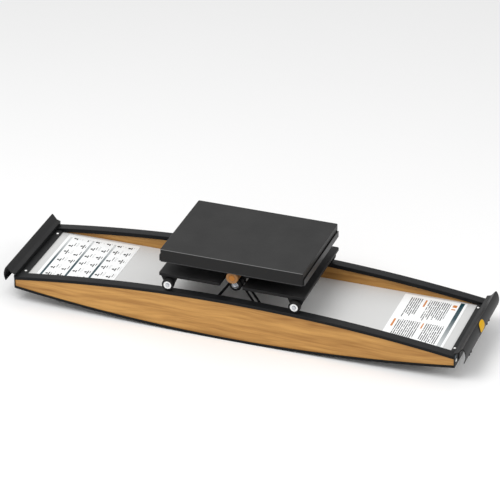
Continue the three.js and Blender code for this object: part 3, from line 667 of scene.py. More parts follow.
def wood_finish(light, dark):
    """Long wavy bands along the board, with fine fibres and short pores between them."""
    finish, net, shader = new_finish("wood grain boards")
    vector = net.object_place()
    inputs = {"Vector": net.scaled(vector, (4.5, 1, 12)), "Scale": 1.0, "Detail": 2.0}
    drift = net.scaled(net.add("ShaderNodeTexNoise", inputs, 1), (0.0, 0.0, 0.022))
    bent = net.add("ShaderNodeVectorMath", {0: vector, 1: drift}, operation="ADD")
    bands = net.stretched(bent, (4.0, 3, 64), 3.0, 0.6)
    ring_noise = net.stretched(bent, (2.0, 2, 30), 1.0, 0.4)
    rings = net.math("SINE", net.math("MULTIPLY", ring_noise, 60.0))
    fibres = net.stretched(bent, (14, 30, 420), 3.0, 0.7)
    pores = net.ranged(net.stretched(bent, (40, 60, 1500), 2.0, 0.5), 0.62, 0.74)
    tone = net.math("MULTIPLY_ADD", rings, 0.1, net.ranged(bands, 0.26, 0.68))
    tone = net.math("MULTIPLY_ADD", net.math("SUBTRACT", fibres, 0.5), 0.42, tone)
    base = net.mix(tone, (*dark, 1), (*light, 1))
    worn = net.place(edge_wear_and_light_group(), {"Vector": vector, "Amount": 0.2})["Mask"]
    pore_tone = tuple(0.55 * value for value in dark)
    worn_tone = tuple(min(1.2 * value, 1) for value in light)
    filled = net.mix(net.math("MULTIPLY", pores, 0.35), base, (*pore_tone, 1))
    net.feed(shader["Base Color"], net.mix(worn, filled, (*worn_tone, 1)))
    net.feed(shader["Roughness"], net.ranged(fibres, 0.2, 0.8, 0.42, 0.56))
    height = net.math("SUBTRACT", fibres, net.math("MULTIPLY", pores, 0.8))
    net.feed(shader["Normal"], net.bump(height, 0.00006, 0.7))
    shader["Specular IOR Level"].default_value = 0.35
    return finish


def chance(net, first, second, seed):
    """A number from 0 to 1 that is the same all over one cell of a pattern."""
    cell = net.add("ShaderNodeCombineXYZ", {0: first, 1: second, 2: seed})
    return net.add("ShaderNodeTexWhiteNoise", {"Vector": cell}, "Value", noise_dimensions="3D")


def ruled_lines(net, u, v, block, pitch, ink, seed):
    """Rows of broken ink like set text: rows of one pitch, words by chance, and ragged ends.

    The block is its two ends along u and along v, in millimetres.
    """
    left, right, low, high = (value * MM for value in block)
    word_length = 2.6 * MM
    ragged_share = 0.3
    gap_chance = 0.1
    place = net.math("DIVIDE", net.math("SUBTRACT", u, left), pitch)
    row = net.math("FLOOR", place)
    inked = net.math("LESS_THAN", net.math("FRACT", place), ink / pitch)
    ragged = net.math("MULTIPLY", chance(net, row, 0.0, seed), ragged_share * (high - low))
    shown = net.math("GREATER_THAN", net.math("SUBTRACT", v, ragged), low)
    word = net.math("FLOOR", net.math("DIVIDE", v, word_length))
    printed = net.math("GREATER_THAN", chance(net, row, word, seed), gap_chance)
    inside = net.all_of(net.between(u, left, right), net.math("LESS_THAN", v, high))
    return net.all_of(inked, shown, printed, inside)


def block_mask(net, u, v, block):
    """A rectangle, given as its two ends along u and along v in millimetres."""
    left, right, low, high = (value * MM for value in block)
    return net.math("MULTIPLY", net.between(u, left, right), net.between(v, low, high))


def film(name, low, paint, settings):
    """A white printed film: paint gives its masks and inks in metres from the film's own corner."""
    finish, net, shader = new_finish(name)
    vector = net.object_place()
    u = net.math("SUBTRACT", net.part(vector, 0), low.x)
    v = net.math("SUBTRACT", net.part(vector, 1), low.y)
    grain = net.place(grain_group(), {"Vector": vector, "Scale": 700.0, "Drift": 0.02})
    tone = net.mix(1.0, (*settings.paper_tone, 1), grain["Shade"], "MULTIPLY")
    for mask, ink in paint(net, u, v, settings):
        tone = net.mix(mask, tone, (*ink, 1))
    dusty = net.place(dust_group(), {"Vector": vector, "Amount": 0.05})["Mask"]
    net.feed(shader["Base Color"], net.mix(dusty, tone, (0.5, 0.49, 0.47, 1)))
    net.feed(shader["Roughness"], net.ranged(grain["Height"], 0.2, 0.8, 0.3, 0.42))
    net.feed(shader["Normal"], net.bump(grain["Height"], 0.00002))
    shader["Specular IOR Level"].default_value = 0.4
    return finish


def cord_finish(tone):
    """Braided sleeve: two sets of strands that cross, from the sines of the map's u plus and less its v."""
    strands = 6
    strand_pitch = 4 * MM
    highlight = srgb(24, 24, 25)
    finish, net, shader = new_finish("braided cord")
    place = net.add("ShaderNodeUVMap", {}, uv_map="run")
    turns = net.math("MULTIPLY", net.part(place, 0), math.tau * strands)
    slide = net.math("MULTIPLY", net.part(place, 1), math.tau / strand_pitch)
    first = net.math("SINE", net.math("ADD", turns, slide))
    second = net.math("SINE", net.math("SUBTRACT", turns, slide))
    weave = net.ranged(net.math("MULTIPLY", first, second), -1.0, 1.0)
    net.feed(shader["Base Color"], net.mix(weave, (*tone, 1), (*highlight, 1)))
    net.feed(shader["Roughness"], net.ranged(weave, 0.0, 1.0, 0.9, 0.7))
    net.feed(shader["Normal"], net.bump(weave, 0.0003, 0.8))
    shader["Specular IOR Level"].default_value = 0.08
    return finish


# What a user may change


class StageSettings(PropertyGroup):
    floor_tone: colour("Floor", "Colour of the plain floor", 250, 250, 250)
    sky_level: FloatProperty(
        name="Sky", description="Level of the even light from all round", default=0.68, min=0
    )
    key_power: FloatProperty(
        name="Key light", description="Power of the large soft lamp", default=78, unit="POWER"
    )
    key_size: length("Key light's size", "Side of the large soft lamp", 2100)
    floor_half: length("Floor's reach", "Half the side of the floor", 9000)


class BoardSettings(PropertyGroup):
    wood_light: colour("Light wood", "Colour of the wood's pale bands", 199, 149, 81)
    wood_dark: colour("Dark wood", "Colour of the wood's dark bands", 147, 100, 44)
    trim_tone: colour("Trims", "Colour of the edging on the boards", 15, 16, 18)
    cap_outer_lip: length("Cap's outer lip", "Depth of the rail cap's outer lip", 8.9)
    cap_inner_lip: length("Cap's inner lip", "Depth of the rail cap's inner lip", 11.9)
    cap_web: length("Cap's web", "Thickness of the rail cap over the board", 3.2)
    strip_lip: length("Strip's lip", "Height of the bottom strip's lips", 7.8)
    strip_web: length("Strip's web", "Thickness of the bottom strip under the board", 3)


class DeckSettings(PropertyGroup):
    deck_tone: colour("Deck", "Colour of the deck sheet", 214, 214, 213)
    paper_tone: colour("Films", "Ground colour of the printed films", 253, 254, 254)
    teal_tone: colour("Teal ink", "Colour of the films' bars", 0, 54, 64)
    ink_tone: colour("Grey ink", "Colour of the films' rows and signs", 34, 36, 38)
    orange_tone: colour("Orange ink", "Colour of the films' headings", 208, 128, 58)


class EndSettings(PropertyGroup):
    steel_tone: colour("Black steel", "Colour of the powder-coated steel", 24, 25, 26)
    hood_tone: colour("Hoods", "Colour of the hoods", 26, 26, 27)
    white_tone: colour("White screws", "Colour of the screws' caps", 250, 250, 248)
    zinc_tone: colour("Zinc", "Colour of the plated steel", 190, 192, 196)
    plug_tone: colour("Plug caps", "Colour of the caps in the end plates' upper corners", 88, 100, 110)
    badge_tone: colour("Badge", "Colour of the badge", 216, 166, 8)
    hood_sheet: length("Hood's sheet", "Thickness of the hood's sheet", 2.5)
    shoulder_radius: length("Shoulder", "Outer radius of the hood's shoulder", 3)
    wall_radius: length("Hood's wall", "Radius of the bulge of the hood's outer wall", 44)


class CarriageSettings(PropertyGroup):
    plate_tone: colour("Plate", "Colour of the carriage plate", 17, 17, 18)
    tyre_tone: colour("Tyres", "Colour of the treads", 18, 18, 19)
    hub_tone: colour("Hubs", "Colour of the wheels' hubs", 244, 245, 245)
    nylon_tone: colour("Pulleys", "Colour of the pulleys", 20, 20, 21)
    nut_tone: colour("Capped nuts", "Colour of the nuts on the pulleys", 184, 187, 192)
    roller_tone: colour("Rollers", "Colour of the rocking rollers' rims", 150, 108, 66)
    plug_tone: colour("Roller plugs", "Colour of the plugs in the rollers", 168, 108, 42)
    cord_tone: colour("Cords", "Colour of the cords' strands", 8, 8, 9)
    cord_radius: length("Cord", "Radius of the elastic cords", 3)
    groove_depth: length("Groove", "Depth of the pulleys' grooves", 5.3)
    groove_half_width: length("Groove's half width", "Half the width of the pulleys' grooves", 4.6)
    notch_depth: length("Notch", "Depth of the plate's notches", 78)
    notch_half_width: length("Notch's half width", "Half the width of the plate's notches", 33)


class PlatformSettings(PropertyGroup):
    cover_tone: colour("Cover", "Colour of the platform's cover", 29, 29, 29)
    tray_tone: colour("Tray", "Colour of the platform's tray", 48, 48, 49)
    # The core's dark colour is painted shade: it darkens the groove between the cover and the tray.
    core_groove_shade_tone: colour("Core", "Colour of the board inside the platform", 44, 40, 36)
    top_edge: length("Top edge", "Radius of the edge round the platform's top", 1.4)
    corner_radius: length("Corners", "Radius of the platform's corners", 4)
    side_flange: length("Side flange", "Depth of the cover at the two ends", 17.5)


# Operators, in the order in which they run


class SKI_OT_stage(Operator):
    """Makes the camera, the soft light and the pale floor"""

    bl_idname = "ski_simulator.stage"
    bl_label = "Stage"

    def execute(self, context):
        settings = context.scene.ski_stage
        camera = bpy.data.objects.new("camera", bpy.data.cameras.new("camera"))
        context.scene.collection.objects.link(camera)
        camera.location = (2.4747523, -6.9079964, 4.2987399)
        camera.rotation_euler = (math.radians(60.8303), 0, math.radians(19.7012))
        camera.data.sensor_width = 36
        camera.data.lens = 216.3107
        camera.data.clip_end = 60
        context.scene.camera = camera
        context.scene.view_settings.view_transform = "Standard"

        world = bpy.data.worlds.new("studio")
        context.scene.world = world
        world.use_nodes = True
        net = Net(world.node_tree)
        shine = world.node_tree.nodes["Background"].inputs
        path = world.node_tree.nodes.new("ShaderNodeLightPath").outputs
        seen = net.math("MAXIMUM", path["Is Camera Ray"], path["Is Glossy Ray"])
        seen = net.math("MAXIMUM", seen, path["Is Transmission Ray"])
        shine["Color"].default_value = (1, 1, 1, 1)
        net.feed(shine["Strength"], net.ranged(seen, 0.0, 1.0, settings.sky_level, 1.0))

        aim = Vector((0, 0, 0.15))
        fill_share = 0.25
        lamps = (
            ("key lamp", (-0.7, -1.9, 3.5), settings.key_power),
            ("fill lamp", (3.0, -0.3, 2.2), settings.key_power * fill_share),
        )
        for name, place, power in lamps:
            lamp = bpy.data.lights.new(name, "AREA")
            lamp.energy = power
            lamp.size = settings.key_size
            holder = bpy.data.objects.new(name, lamp)
            context.scene.collection.objects.link(holder)
            holder.location = place
            holder.rotation_euler = (aim - Vector(place)).to_track_quat("-Z", "Y").to_euler()

        half = settings.floor_half
        mesh = bpy.data.meshes.new("floor")
        corners = [(x, y, 0) for x, y in rectangle(-half, half, -half, half)]
        mesh.from_pydata(corners, [], [(0, 1, 2, 3)])
        floor = bpy.data.objects.new("floor", mesh)
        context.scene.collection.objects.link(floor)
        finish, net, shader = new_finish("pale floor")
        vector = net.object_place()
        grain = net.place(grain_group(), {"Vector": vector, "Scale": 60.0, "Drift": 0.01})
        net.feed(shader["Base Color"], net.mix(1.0, (*settings.floor_tone, 1), grain["Shade"], "MULTIPLY"))
        shader["Roughness"].default_value = 0.9
        shader["Specular IOR Level"].default_value = 0.0
        mesh.materials.append(finish)
        return {"FINISHED"}


def cord_route(hole_x, deck_top, pulley, radius, run_height, bend_radius, run_end):
    """The +X half of a cord's line in XZ: over the pulley, its tangent to the hole, and the run below.

    The tangent leaves the pulley at the angle to the hole plus the arc cosine of radius over reach.
    """
    over_points = 13
    drop_points = 41
    bend_points = 9
    run_points = 30
    reach = math.hypot(hole_x, deck_top - pulley)
    tangent = math.atan2(deck_top - pulley, hole_x) + math.acos(radius / reach)
    leave = np.array((math.cos(tangent), math.sin(tangent)))
    start = leave * radius + (0, pulley)
    down = np.array((leave[1], -leave[0]))
    travel = (start[1] + leave[1] * bend_radius - run_height - bend_radius) / -down[1]
    centre = start + down * travel + leave * bend_radius
    over = arc_line((0, pulley), radius, math.pi / 2, tangent, over_points)
    hole = start + down * ((start[1] - deck_top) / -down[1])
    drop = start + (hole - start) * np.linspace(0, 1, drop_points)[:, None]
    below = arc_line(centre, bend_radius, tangent - math.pi, -math.pi / 2, bend_points)
    run_x = np.linspace(centre[0], run_end, run_points)[1:]
    line = np.stack([run_x, np.full_like(run_x, run_height)], axis=-1)
    return over, drop, np.concatenate([hole[None], below, line])


def eyelet_profile(hole_radius, deck_top):
    """The section of a ring that lines a hole in the deck and has a flange on top."""
    bore = hole_radius - 0.7 * MM
    liner = hole_radius - 0.3 * MM
    flange = hole_radius + 2.2 * MM
    foot = deck_top - 2.6 * MM
    seat = deck_top + 0.05 * MM
    top = deck_top + 1 * MM
    lean = 0.4 * MM
    corners = [(bore, foot), (liner, foot), (liner, seat), (flange, seat), (flange - lean, top), (bore, top)]
    return rounded(corners, (0, 0, 0, 0, 0.5 * MM, 0.5 * MM))


class SKI_OT_cords(Operator):
    """Makes the four elastic cords and the eyelets where they pass the deck"""

    bl_idname = "ski_simulator.cords"
    bl_label = "Cords"

    def execute(self, context):
        settings = context.scene.ski_carriage
        finish = cord_finish(settings.cord_tone)
        eyelet_finish = coated("black nylon", settings.nylon_tone)
        deck_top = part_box("deck_sheet")[1].z
        cord_radius = settings.cord_radius
        hole_gap = 3.6 * MM
        hole_x = 76 * MM
        bend_radius = 12 * MM
        eyelet = eyelet_profile(cord_radius + hole_gap, deck_top)
        for side_name in SIDES:
            low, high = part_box(side_name + "_pulley")
            pulley = (low.z + high.z) / 2
            for lane in ("outer", "inner"):
                node = f"{side_name}_{lane}_cord"
                low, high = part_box(node)
                y = (low.y + high.y) / 2
                centre_radius = high.z - cord_radius - pulley
                run_height = low.z + cord_radius
                over, drop, below = cord_route(
                    hole_x, deck_top, pulley, centre_radius, run_height, bend_radius, high.x
                )
                whole = np.concatenate([(over * (-1, 1))[:0:-1], over])
                piece(node + "_over", [tube(whole, y, cord_radius)], finish, "carriage", [node])
                for end_name, end in ENDS.items():
                    name = f"{node}_{end_name}"
                    fall = tube(drop * (end, 1), y, cord_radius)
                    made = piece(name + "_drop", [fall], finish, None)
                    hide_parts(node)
                    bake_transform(made)
                    run = tube(below * (end, 1), y, cord_radius)
                    piece(name + "_run", [run], finish, "base", [node])
                    ring = turned(eyelet, (end * hole_x, y, 0), "z", 32, closed=True)
                    piece(name + "_eyelet", [ring], eyelet_finish, "base")
        return {"FINISHED"}


class SKI_OT_side_boards(Operator):
    """Gives the side boards their wood"""

    bl_idname = "ski_simulator.side_boards"
    bl_label = "Side boards"

    def execute(self, context):
        settings = context.scene.ski_boards
        finish = wood_finish(settings.wood_light, settings.wood_dark)
        for side_name in SIDES:
            dress(side_name + "_side_board", finish)
        return {"FINISHED"}


def trim_shell(low, high, corners, radii, lip, face, side, bend):
    """A rounded profile along the arc that rises by the height of a box less the lip.

    The arc's radius is the half length squared plus the rise squared, over twice the rise.
    """
    rise = high.z - low.z - lip
    radius = (high.x**2 + rise**2) / (2 * rise)
    crown = high.z if bend > 0 else low.z
    profile = rounded(corners, np.array(radii) * MM, 3)
    return along_arc(profile, face, side, high.x, radius, crown, bend)


class SKI_OT_edge_trims(Operator):
    """Makes the rail caps and the bottom strips, each a profile carried along an arc"""

    bl_idname = "ski_simulator.edge_trims"
    bl_label = "Edge trims"

    def execute(self, context):
        settings = context.scene.ski_boards
        finish = coated("edge trim", settings.trim_tone)
        web, outer_lip, inner_lip = settings.cap_web, settings.cap_outer_lip, settings.cap_inner_lip
        for side_name, side in SIDES.items():
            low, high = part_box(side_name + "_rail_cap")
            board_low, board_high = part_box(side_name + "_side_board")
            face = outer_inner(low, high, 1)[0]
            board_outer, board_inner = outer_inner(board_low, board_high, 1)
            outer = face - board_outer - GAP
            inner = face - board_inner + GAP
            width = high.y - low.y
            corners = [
                (0, 0), (0, -outer_lip), (outer, -outer_lip), (outer, -web),
                (inner, -web), (inner, -inner_lip), (width, -inner_lip), (width, 0),
            ]
            radii = (1.6, 0.5, 0.4, 0.3, 0.3, 0.4, 0.8, 1.6)
            shell = trim_shell(low, high, corners, radii, inner_lip, face, side, 1)
            piece(side_name + "_rail_cap_arched", [shell], finish, "base", [side_name + "_rail_cap"])

            low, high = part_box(side_name + "_bottom_strip")
            width = high.y - low.y
            lip, strip_web = settings.strip_lip, settings.strip_web
            corners = [
                (0, 0), (width, 0), (width, lip), (inner, lip),
                (inner, strip_web), (outer, strip_web), (outer, lip), (0, lip),
            ]
            radii = (1.4, 1.4, 0.4, 0.4, 0.3, 0.3, 0.4, 0.5)
            shell = trim_shell(low, high, corners, radii, lip, face, side, -1)
            node = side_name + "_bottom_strip"
            piece(node + "_curved", [shell], finish, "base", [node])
        return {"FINISHED"}


class SKI_OT_deck(Operator):
    """Gives the deck and the rails under it their finishes"""

    bl_idname = "ski_simulator.deck"
    bl_label = "Deck"

    def execute(self, context):
        tone = context.scene.ski_deck.deck_tone
        dress("deck_sheet", coated("deck lacquer", tone))
        steel = black_steel(context.scene.ski_ends)
        for end_name in ENDS:
            dress(end_name + "_cord_rail", steel)
            dress(end_name + "_anchor_rail", steel)
        return {"FINISHED"}


def signs(net, u, v, settings):
    """Cells, each a disc and bars beside rows of ink, with three fading teal bars.

    Chance moves each cell's disc and the ends of its bars.
    """
    across, up, margin = 34 * MM, 44 * MM, 20 * MM
    disc_u, disc_radius = 6 * MM, 4 * MM
    stripes = ((9, 16), (79, 86), (147, 154))
    place_u = net.math("DIVIDE", net.math("SUBTRACT", u, margin), across)
    place_v = net.math("DIVIDE", net.math("SUBTRACT", v, margin), up)
    in_u = net.math("MULTIPLY", net.math("FRACT", place_u), across)
    in_v = net.math("MULTIPLY", net.math("FRACT", place_v), up)
    luck = chance(net, net.math("FLOOR", place_u), net.math("FLOOR", place_v), 1.0)

    def by_luck(reach, start):
        return net.math("MULTIPLY_ADD", luck, reach * MM, start * MM)

    def cut_bar(block, end):
        return net.all_of(block_mask(net, in_u, in_v, block), net.math("LESS_THAN", in_v, end))

    away_u = net.math("SUBTRACT", in_u, disc_u)
    away_v = net.math("SUBTRACT", in_v, by_luck(14, 8))
    squares = net.math("ADD", net.math("POWER", away_u, 2.0), net.math("POWER", away_v, 2.0))
    disc = net.math("LESS_THAN", net.math("SQRT", squares), disc_radius)
    bar = cut_bar((11, 14.5, 4, 36), by_luck(20, 14))
    foot = cut_bar((18, 20.2, 12, 34), by_luck(-16, 34))
    field = block_mask(net, u, v, (20, 216, 20, 254))
    inked = ruled_lines(net, in_u, in_v, (25, 31, 6, 34), 3 * MM, 1.1 * MM, 3.0)
    fade = net.ranged(v, 120 * MM, 262 * MM, 1.0, 0.2)
    striped = net.any_of(*(net.between(u, low * MM, high * MM) for low, high in stripes))
    dark = tuple(0.3 * value for value in settings.ink_tone)
    return [
        (net.all_of(field, net.any_of(disc, bar, foot)), dark),
        (net.all_of(field, inked, 0.5), settings.ink_tone),
        (net.all_of(striped, fade, net.between(v, 6 * MM, 256 * MM)), settings.teal_tone),
    ]


def rows(net, u, v, settings):
    """Four blocks of ink rows with orange bars beside them, and a teal band that fades along the edge."""
    blocks = ((24, 88, 10, 130), (104, 158, 10, 130), (24, 60, 140, 256), (78, 140, 140, 256))
    headings = (
        (11, 17, 86, 128), (66, 71, 214, 252), (94, 98, 98, 128), (146, 158, 224, 230), (146, 158, 238, 252),
    )
    pitch, ink, first_seed = 6 * MM, 2.7 * MM, 5.0
    inked = [ruled_lines(net, u, v, block, pitch, ink, first_seed + at) for at, block in enumerate(blocks)]
    heads = [block_mask(net, u, v, block) for block in headings]
    fade = net.ranged(v, 0.0, 180 * MM, 0.3, 1.0)
    return [
        (net.any_of(*inked), settings.ink_tone),
        (net.any_of(*heads), settings.orange_tone),
        (net.all_of(net.between(u, 163 * MM, 175 * MM), fade), settings.teal_tone),
    ]


class SKI_OT_printed_films(Operator):
    """Prints the two films on the deck with plain bars, signs and rows of ink"""

    bl_idname = "ski_simulator.printed_films"
    bl_label = "Printed films"

    def execute(self, context):
        settings = context.scene.ski_deck
        dress("exercise_sheet", film("film of signs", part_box("exercise_sheet")[0], signs, settings))
        dress("guide_sheet", film("film of rows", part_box("guide_sheet")[0], rows, settings))
        return {"FINISHED"}


class SKI_OT_base_ends(Operator):
    """Makes the end plates, the end bars and all their screws"""

    bl_idname = "ski_simulator.base_ends"
    bl_label = "Ends of the base"

    def execute(self, context):
        settings = context.scene.ski_ends
        steel = black_steel(settings)
        white = coated("white screw caps", settings.white_tone)
        head_height = 1.8 * MM
        for end_name, end in ENDS.items():
            node = end_name + "_end_plate"
            low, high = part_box(node)
            outline = rounded(rectangle(low.y, high.y, low.z, high.z), 2.5 * MM)
            plate = prism(outline, low.x, high.x, 0.5 * MM, "x")
            piece(node + "_folded", [plate], steel, "base", [node])

            node = end_name + "_end_bar"
            low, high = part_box(node)
            outline = rounded(rectangle(low.x, high.x, low.z, high.z), np.array((0.4, 0.4, 1.4, 1.4)) * MM)
            bar = prism(outline, low.y, high.y, 0.6 * MM, "y")
            piece(node + "_rounded", [bar], steel, "base", [node])
            top = high.z
            for side_name in SIDES:
                node = f"{end_name}_{side_name}_bar_screw"
                low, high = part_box(node)
                centre = ((low.x + high.x) / 2, (low.y + high.y) / 2, top + GAP)
                head = screw_head(centre, 3.6 * MM, head_height, "z", 1)
                piece(node + "_cap", [head], white, "base", [node])
                node = f"{end_name}_{side_name}_plate_screw"
                low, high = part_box(node)
                near = low.x if end > 0 else high.x
                centre = (near, (low.y + high.y) / 2, (low.z + high.z) / 2)
                head = screw_head(centre, 5 * MM, head_height, "x", end)
                piece(node + "_head", [head], white, "base", [node])

        plug_x, plug_y, plug_z = 650 * MM, 160.5 * MM, 80 * MM
        caps = [
            screw_head((end * plug_x, side * plug_y, plug_z), 5.5 * MM, 2 * MM, "x", end)
            for end in ENDS.values()
            for side in SIDES.values()
        ]
        piece("end_plate_plug_caps", caps, coated("grey plug caps", settings.plug_tone), "base")
        return {"FINISHED"}


def arc_line(centre, radius, start, stop, steps):
    """Points at equal angles: the centre plus the radius times the cosine and the sine."""
    angle = np.linspace(start, stop, steps)
    return np.asarray(centre) + radius * np.stack([np.cos(angle), np.sin(angle)], axis=-1)


def hood_path(settings):
    """The outer line of the +X hood in XZ: a lip that climbs, a tight shoulder and a wall that bulges.

    Both arcs share a tangent where they meet. Also gives the centre of the wall's arc.
    """
    shoulder_out = 21.5 * MM
    shoulder_rise = 16.4 * MM
    shoulder_start = math.radians(142)
    meet = math.radians(34)
    tip_drop = 23 * MM
    lip_run = 12 * MM
    lip_rise = 4 * MM
    lip_bend = 5 * MM
    plate_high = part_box("right_end_plate")[1]
    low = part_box("right_end_hood")[0]
    radius, wall_radius = settings.shoulder_radius, settings.wall_radius
    seat = plate_high.z + GAP + settings.hood_sheet
    shoulder = np.array((plate_high.x + shoulder_out, seat + shoulder_rise))
    centre = shoulder - (wall_radius - radius) * np.array((math.cos(meet), math.sin(meet)))
    tip = math.asin((plate_high.z - tip_drop - centre[1]) / wall_radius)
    arc = arc_line(shoulder, radius, shoulder_start, meet, 9)
    wall = arc_line(centre, wall_radius, meet, tip, 26)[1:]
    corners = [(low.x, seat), (low.x + lip_run, seat + lip_rise), arc[0]]
    lip = rounded(corners, lip_bend, 5, closed=False)[:-1]
    return np.concatenate([lip, arc, wall]), centre


class SKI_OT_hoods(Operator):
    """Makes the folded hoods, their legs and their bolts"""

    bl_idname = "ski_simulator.hoods"
    bl_label = "Hoods"

    def execute(self, context):
        settings = context.scene.ski_ends
        finish = coated("hood powder coat", settings.hood_tone)
        dark = black_steel(settings)
        path, centre = hood_path(settings)
        sheet = settings.hood_sheet
        leg_near, leg_far, leg_top = 650.3 * MM, 652.8 * MM, 90.8 * MM
        leg_half = 130 * MM
        wall_bolt_z = 73 * MM
        wall_bolt_reach = math.sqrt(settings.wall_radius**2 - (wall_bolt_z - centre[1]) ** 2)
        wall_bolt_x = centre[0] + wall_bolt_reach - 0.2 * MM
        wall_bolt_places = (-128.5, -111.2, 46.2, 67.6)
        leg_bolt_x, leg_bolt_z = 652.7 * MM, 62 * MM
        leg_bolt_places = (-90, 90)
        outline = np.concatenate([path, (path + path_normals(path) * sheet)[::-1]])
        for end_name, end in ENDS.items():
            node = end_name + "_end_hood"
            low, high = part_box(node)
            fold = prism(outline * (end, 1), low.y, high.y, 0.45 * MM, "y")
            leg_outline = rounded(rectangle(-leg_half, leg_half, low.z, leg_top), (5 * MM, 5 * MM, 0, 0), 5)
            leg_x = sorted((end * leg_near, end * leg_far))
            leg = prism(leg_outline, *leg_x, 0.4 * MM, "x")
            piece(node + "_folded", [fold, leg], finish, "base", [node])
            bolts = [
                screw_head((end * wall_bolt_x, y * MM, wall_bolt_z), 3.4 * MM, 2.2 * MM, "x", end, True)
                for y in wall_bolt_places
            ]
            bolts += [
                screw_head((end * leg_bolt_x, y * MM, leg_bolt_z), 5 * MM, 3 * MM, "x", end, True)
                for y in leg_bolt_places
            ]
            piece(node + "_bolts", bolts, dark, "base")
        return {"FINISHED"}


class SKI_OT_badge(Operator):
    """Makes the bare yellow dome of the badge and its dark base, on the right hood's wall"""

    bl_idname = "ski_simulator.badge"
    bl_label = "Badge"

    def execute(self, context):
        settings = context.scene.ski_ends
        centre = hood_path(settings)[1]
        low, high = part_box("end_badge")
        middle_angle = math.radians(16)
        half_angle = math.asin(17 * MM / settings.wall_radius)
        half_length = 23 * MM
        squareness = 0.75
        turn = np.arange(72)[None, :] / 72 * math.tau

        def squarish(wave):
            return np.sign(wave) * np.abs(wave) ** squareness

        def oval(share, lift):
            """Rings of a squarish oval on the wall, whose cosine and sine are raised to the squareness.

            Each is a share of the half sizes, lifted off the wall's arc.
            """
            share, lift = np.asarray(share)[:, None], np.asarray(lift)[:, None] * MM
            angle = middle_angle + half_angle * share * squarish(np.cos(turn))
            radius = settings.wall_radius + GAP + lift
            points = np.empty(angle.shape + (3,))
            points[..., 0] = centre[0] + radius * np.cos(angle)
            points[..., 1] = (low.y + high.y) / 2 + half_length * share * squarish(np.sin(turn))
            points[..., 2] = centre[1] + radius * np.sin(angle)
            return Shell(points.reshape(-1, 3), grid_quads(len(share), turn.shape[1], wrap_columns=True))

        rim = 0.86
        dome_height = 2.4
        dome_fall = 0.7
        under = 0.9
        across = np.linspace(0, 0.8, 12)
        dome_lift = dome_height - dome_fall * (across / rim) ** 2
        dome = oval([*across, 0.84, rim, rim, 0.4, 0], [*dome_lift, 1.7, 1.4, under, under, under])
        base = oval([0, 0.5, 0.9, 0.97, 1, 1, 0.5, 0], [1.1, 1.1, 1.1, 1, 0.7, 0, 0, 0])
        finish = coated("yellow badge", settings.badge_tone)
        piece("end_badge_dome", [dome], finish, "base", ["end_badge"])
        piece("end_badge_base", [base], black_steel(settings), "base", ["end_badge"])
        return {"FINISHED"}


class SKI_OT_carriage_plate(Operator):
    """Makes the carriage plate with its two rounded notches"""

    bl_idname = "ski_simulator.carriage_plate"
    bl_label = "Carriage plate"

    def execute(self, context):
        settings = context.scene.ski_carriage
        ends = context.scene.ski_ends
        finish = coated("plate powder coat", settings.plate_tone)
        low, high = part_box("carriage_plate")
        far, deep = high.x, high.y
        near, inner = settings.notch_half_width, high.y - settings.notch_depth
        corners = [
            (far, -deep), (far, deep), (near, deep), (near, inner), (-near, inner), (-near, deep),
            (-far, deep), (-far, -deep), (-near, -deep), (-near, -inner), (near, -inner), (near, -deep),
        ]
        radii = np.array((5, 5, 2, 4, 4, 2, 5, 5, 2, 4, 4, 2)) * MM
        shell = prism(rounded(corners, radii, 6), low.z, high.z, 1.2 * MM)
        piece("carriage_plate_notched", [shell], finish, "carriage", ["carriage_plate"])

        tab_y = 94 * MM
        tab_near = 19 * MM
        tab_far = near + 12 * MM
        tab_half = 6 * MM
        tab_low = high.z - 0.4 * MM
        tab_high = high.z + 2.2 * MM
        screw_x = 26.5 * MM
        screw_z = tab_high - 0.1 * MM
        tabs, screws = [], []
        for side in SIDES.values():
            y = side * tab_y
            outline = rounded(rectangle(tab_near, tab_far, y - tab_half, y + tab_half), 4 * MM, 5)
            tabs.append(prism(outline, tab_low, tab_high, 0.4 * MM))
            screws.append(screw_head((screw_x, y, screw_z), 2.4 * MM, 1.8 * MM, "z", 1))
        piece("cord_keeper_tabs", tabs, black_steel(ends), "carriage")
        white = coated("white screw caps", ends.white_tone)
        piece("cord_keeper_screws", screws, white, "carriage")
        return {"FINISHED"}


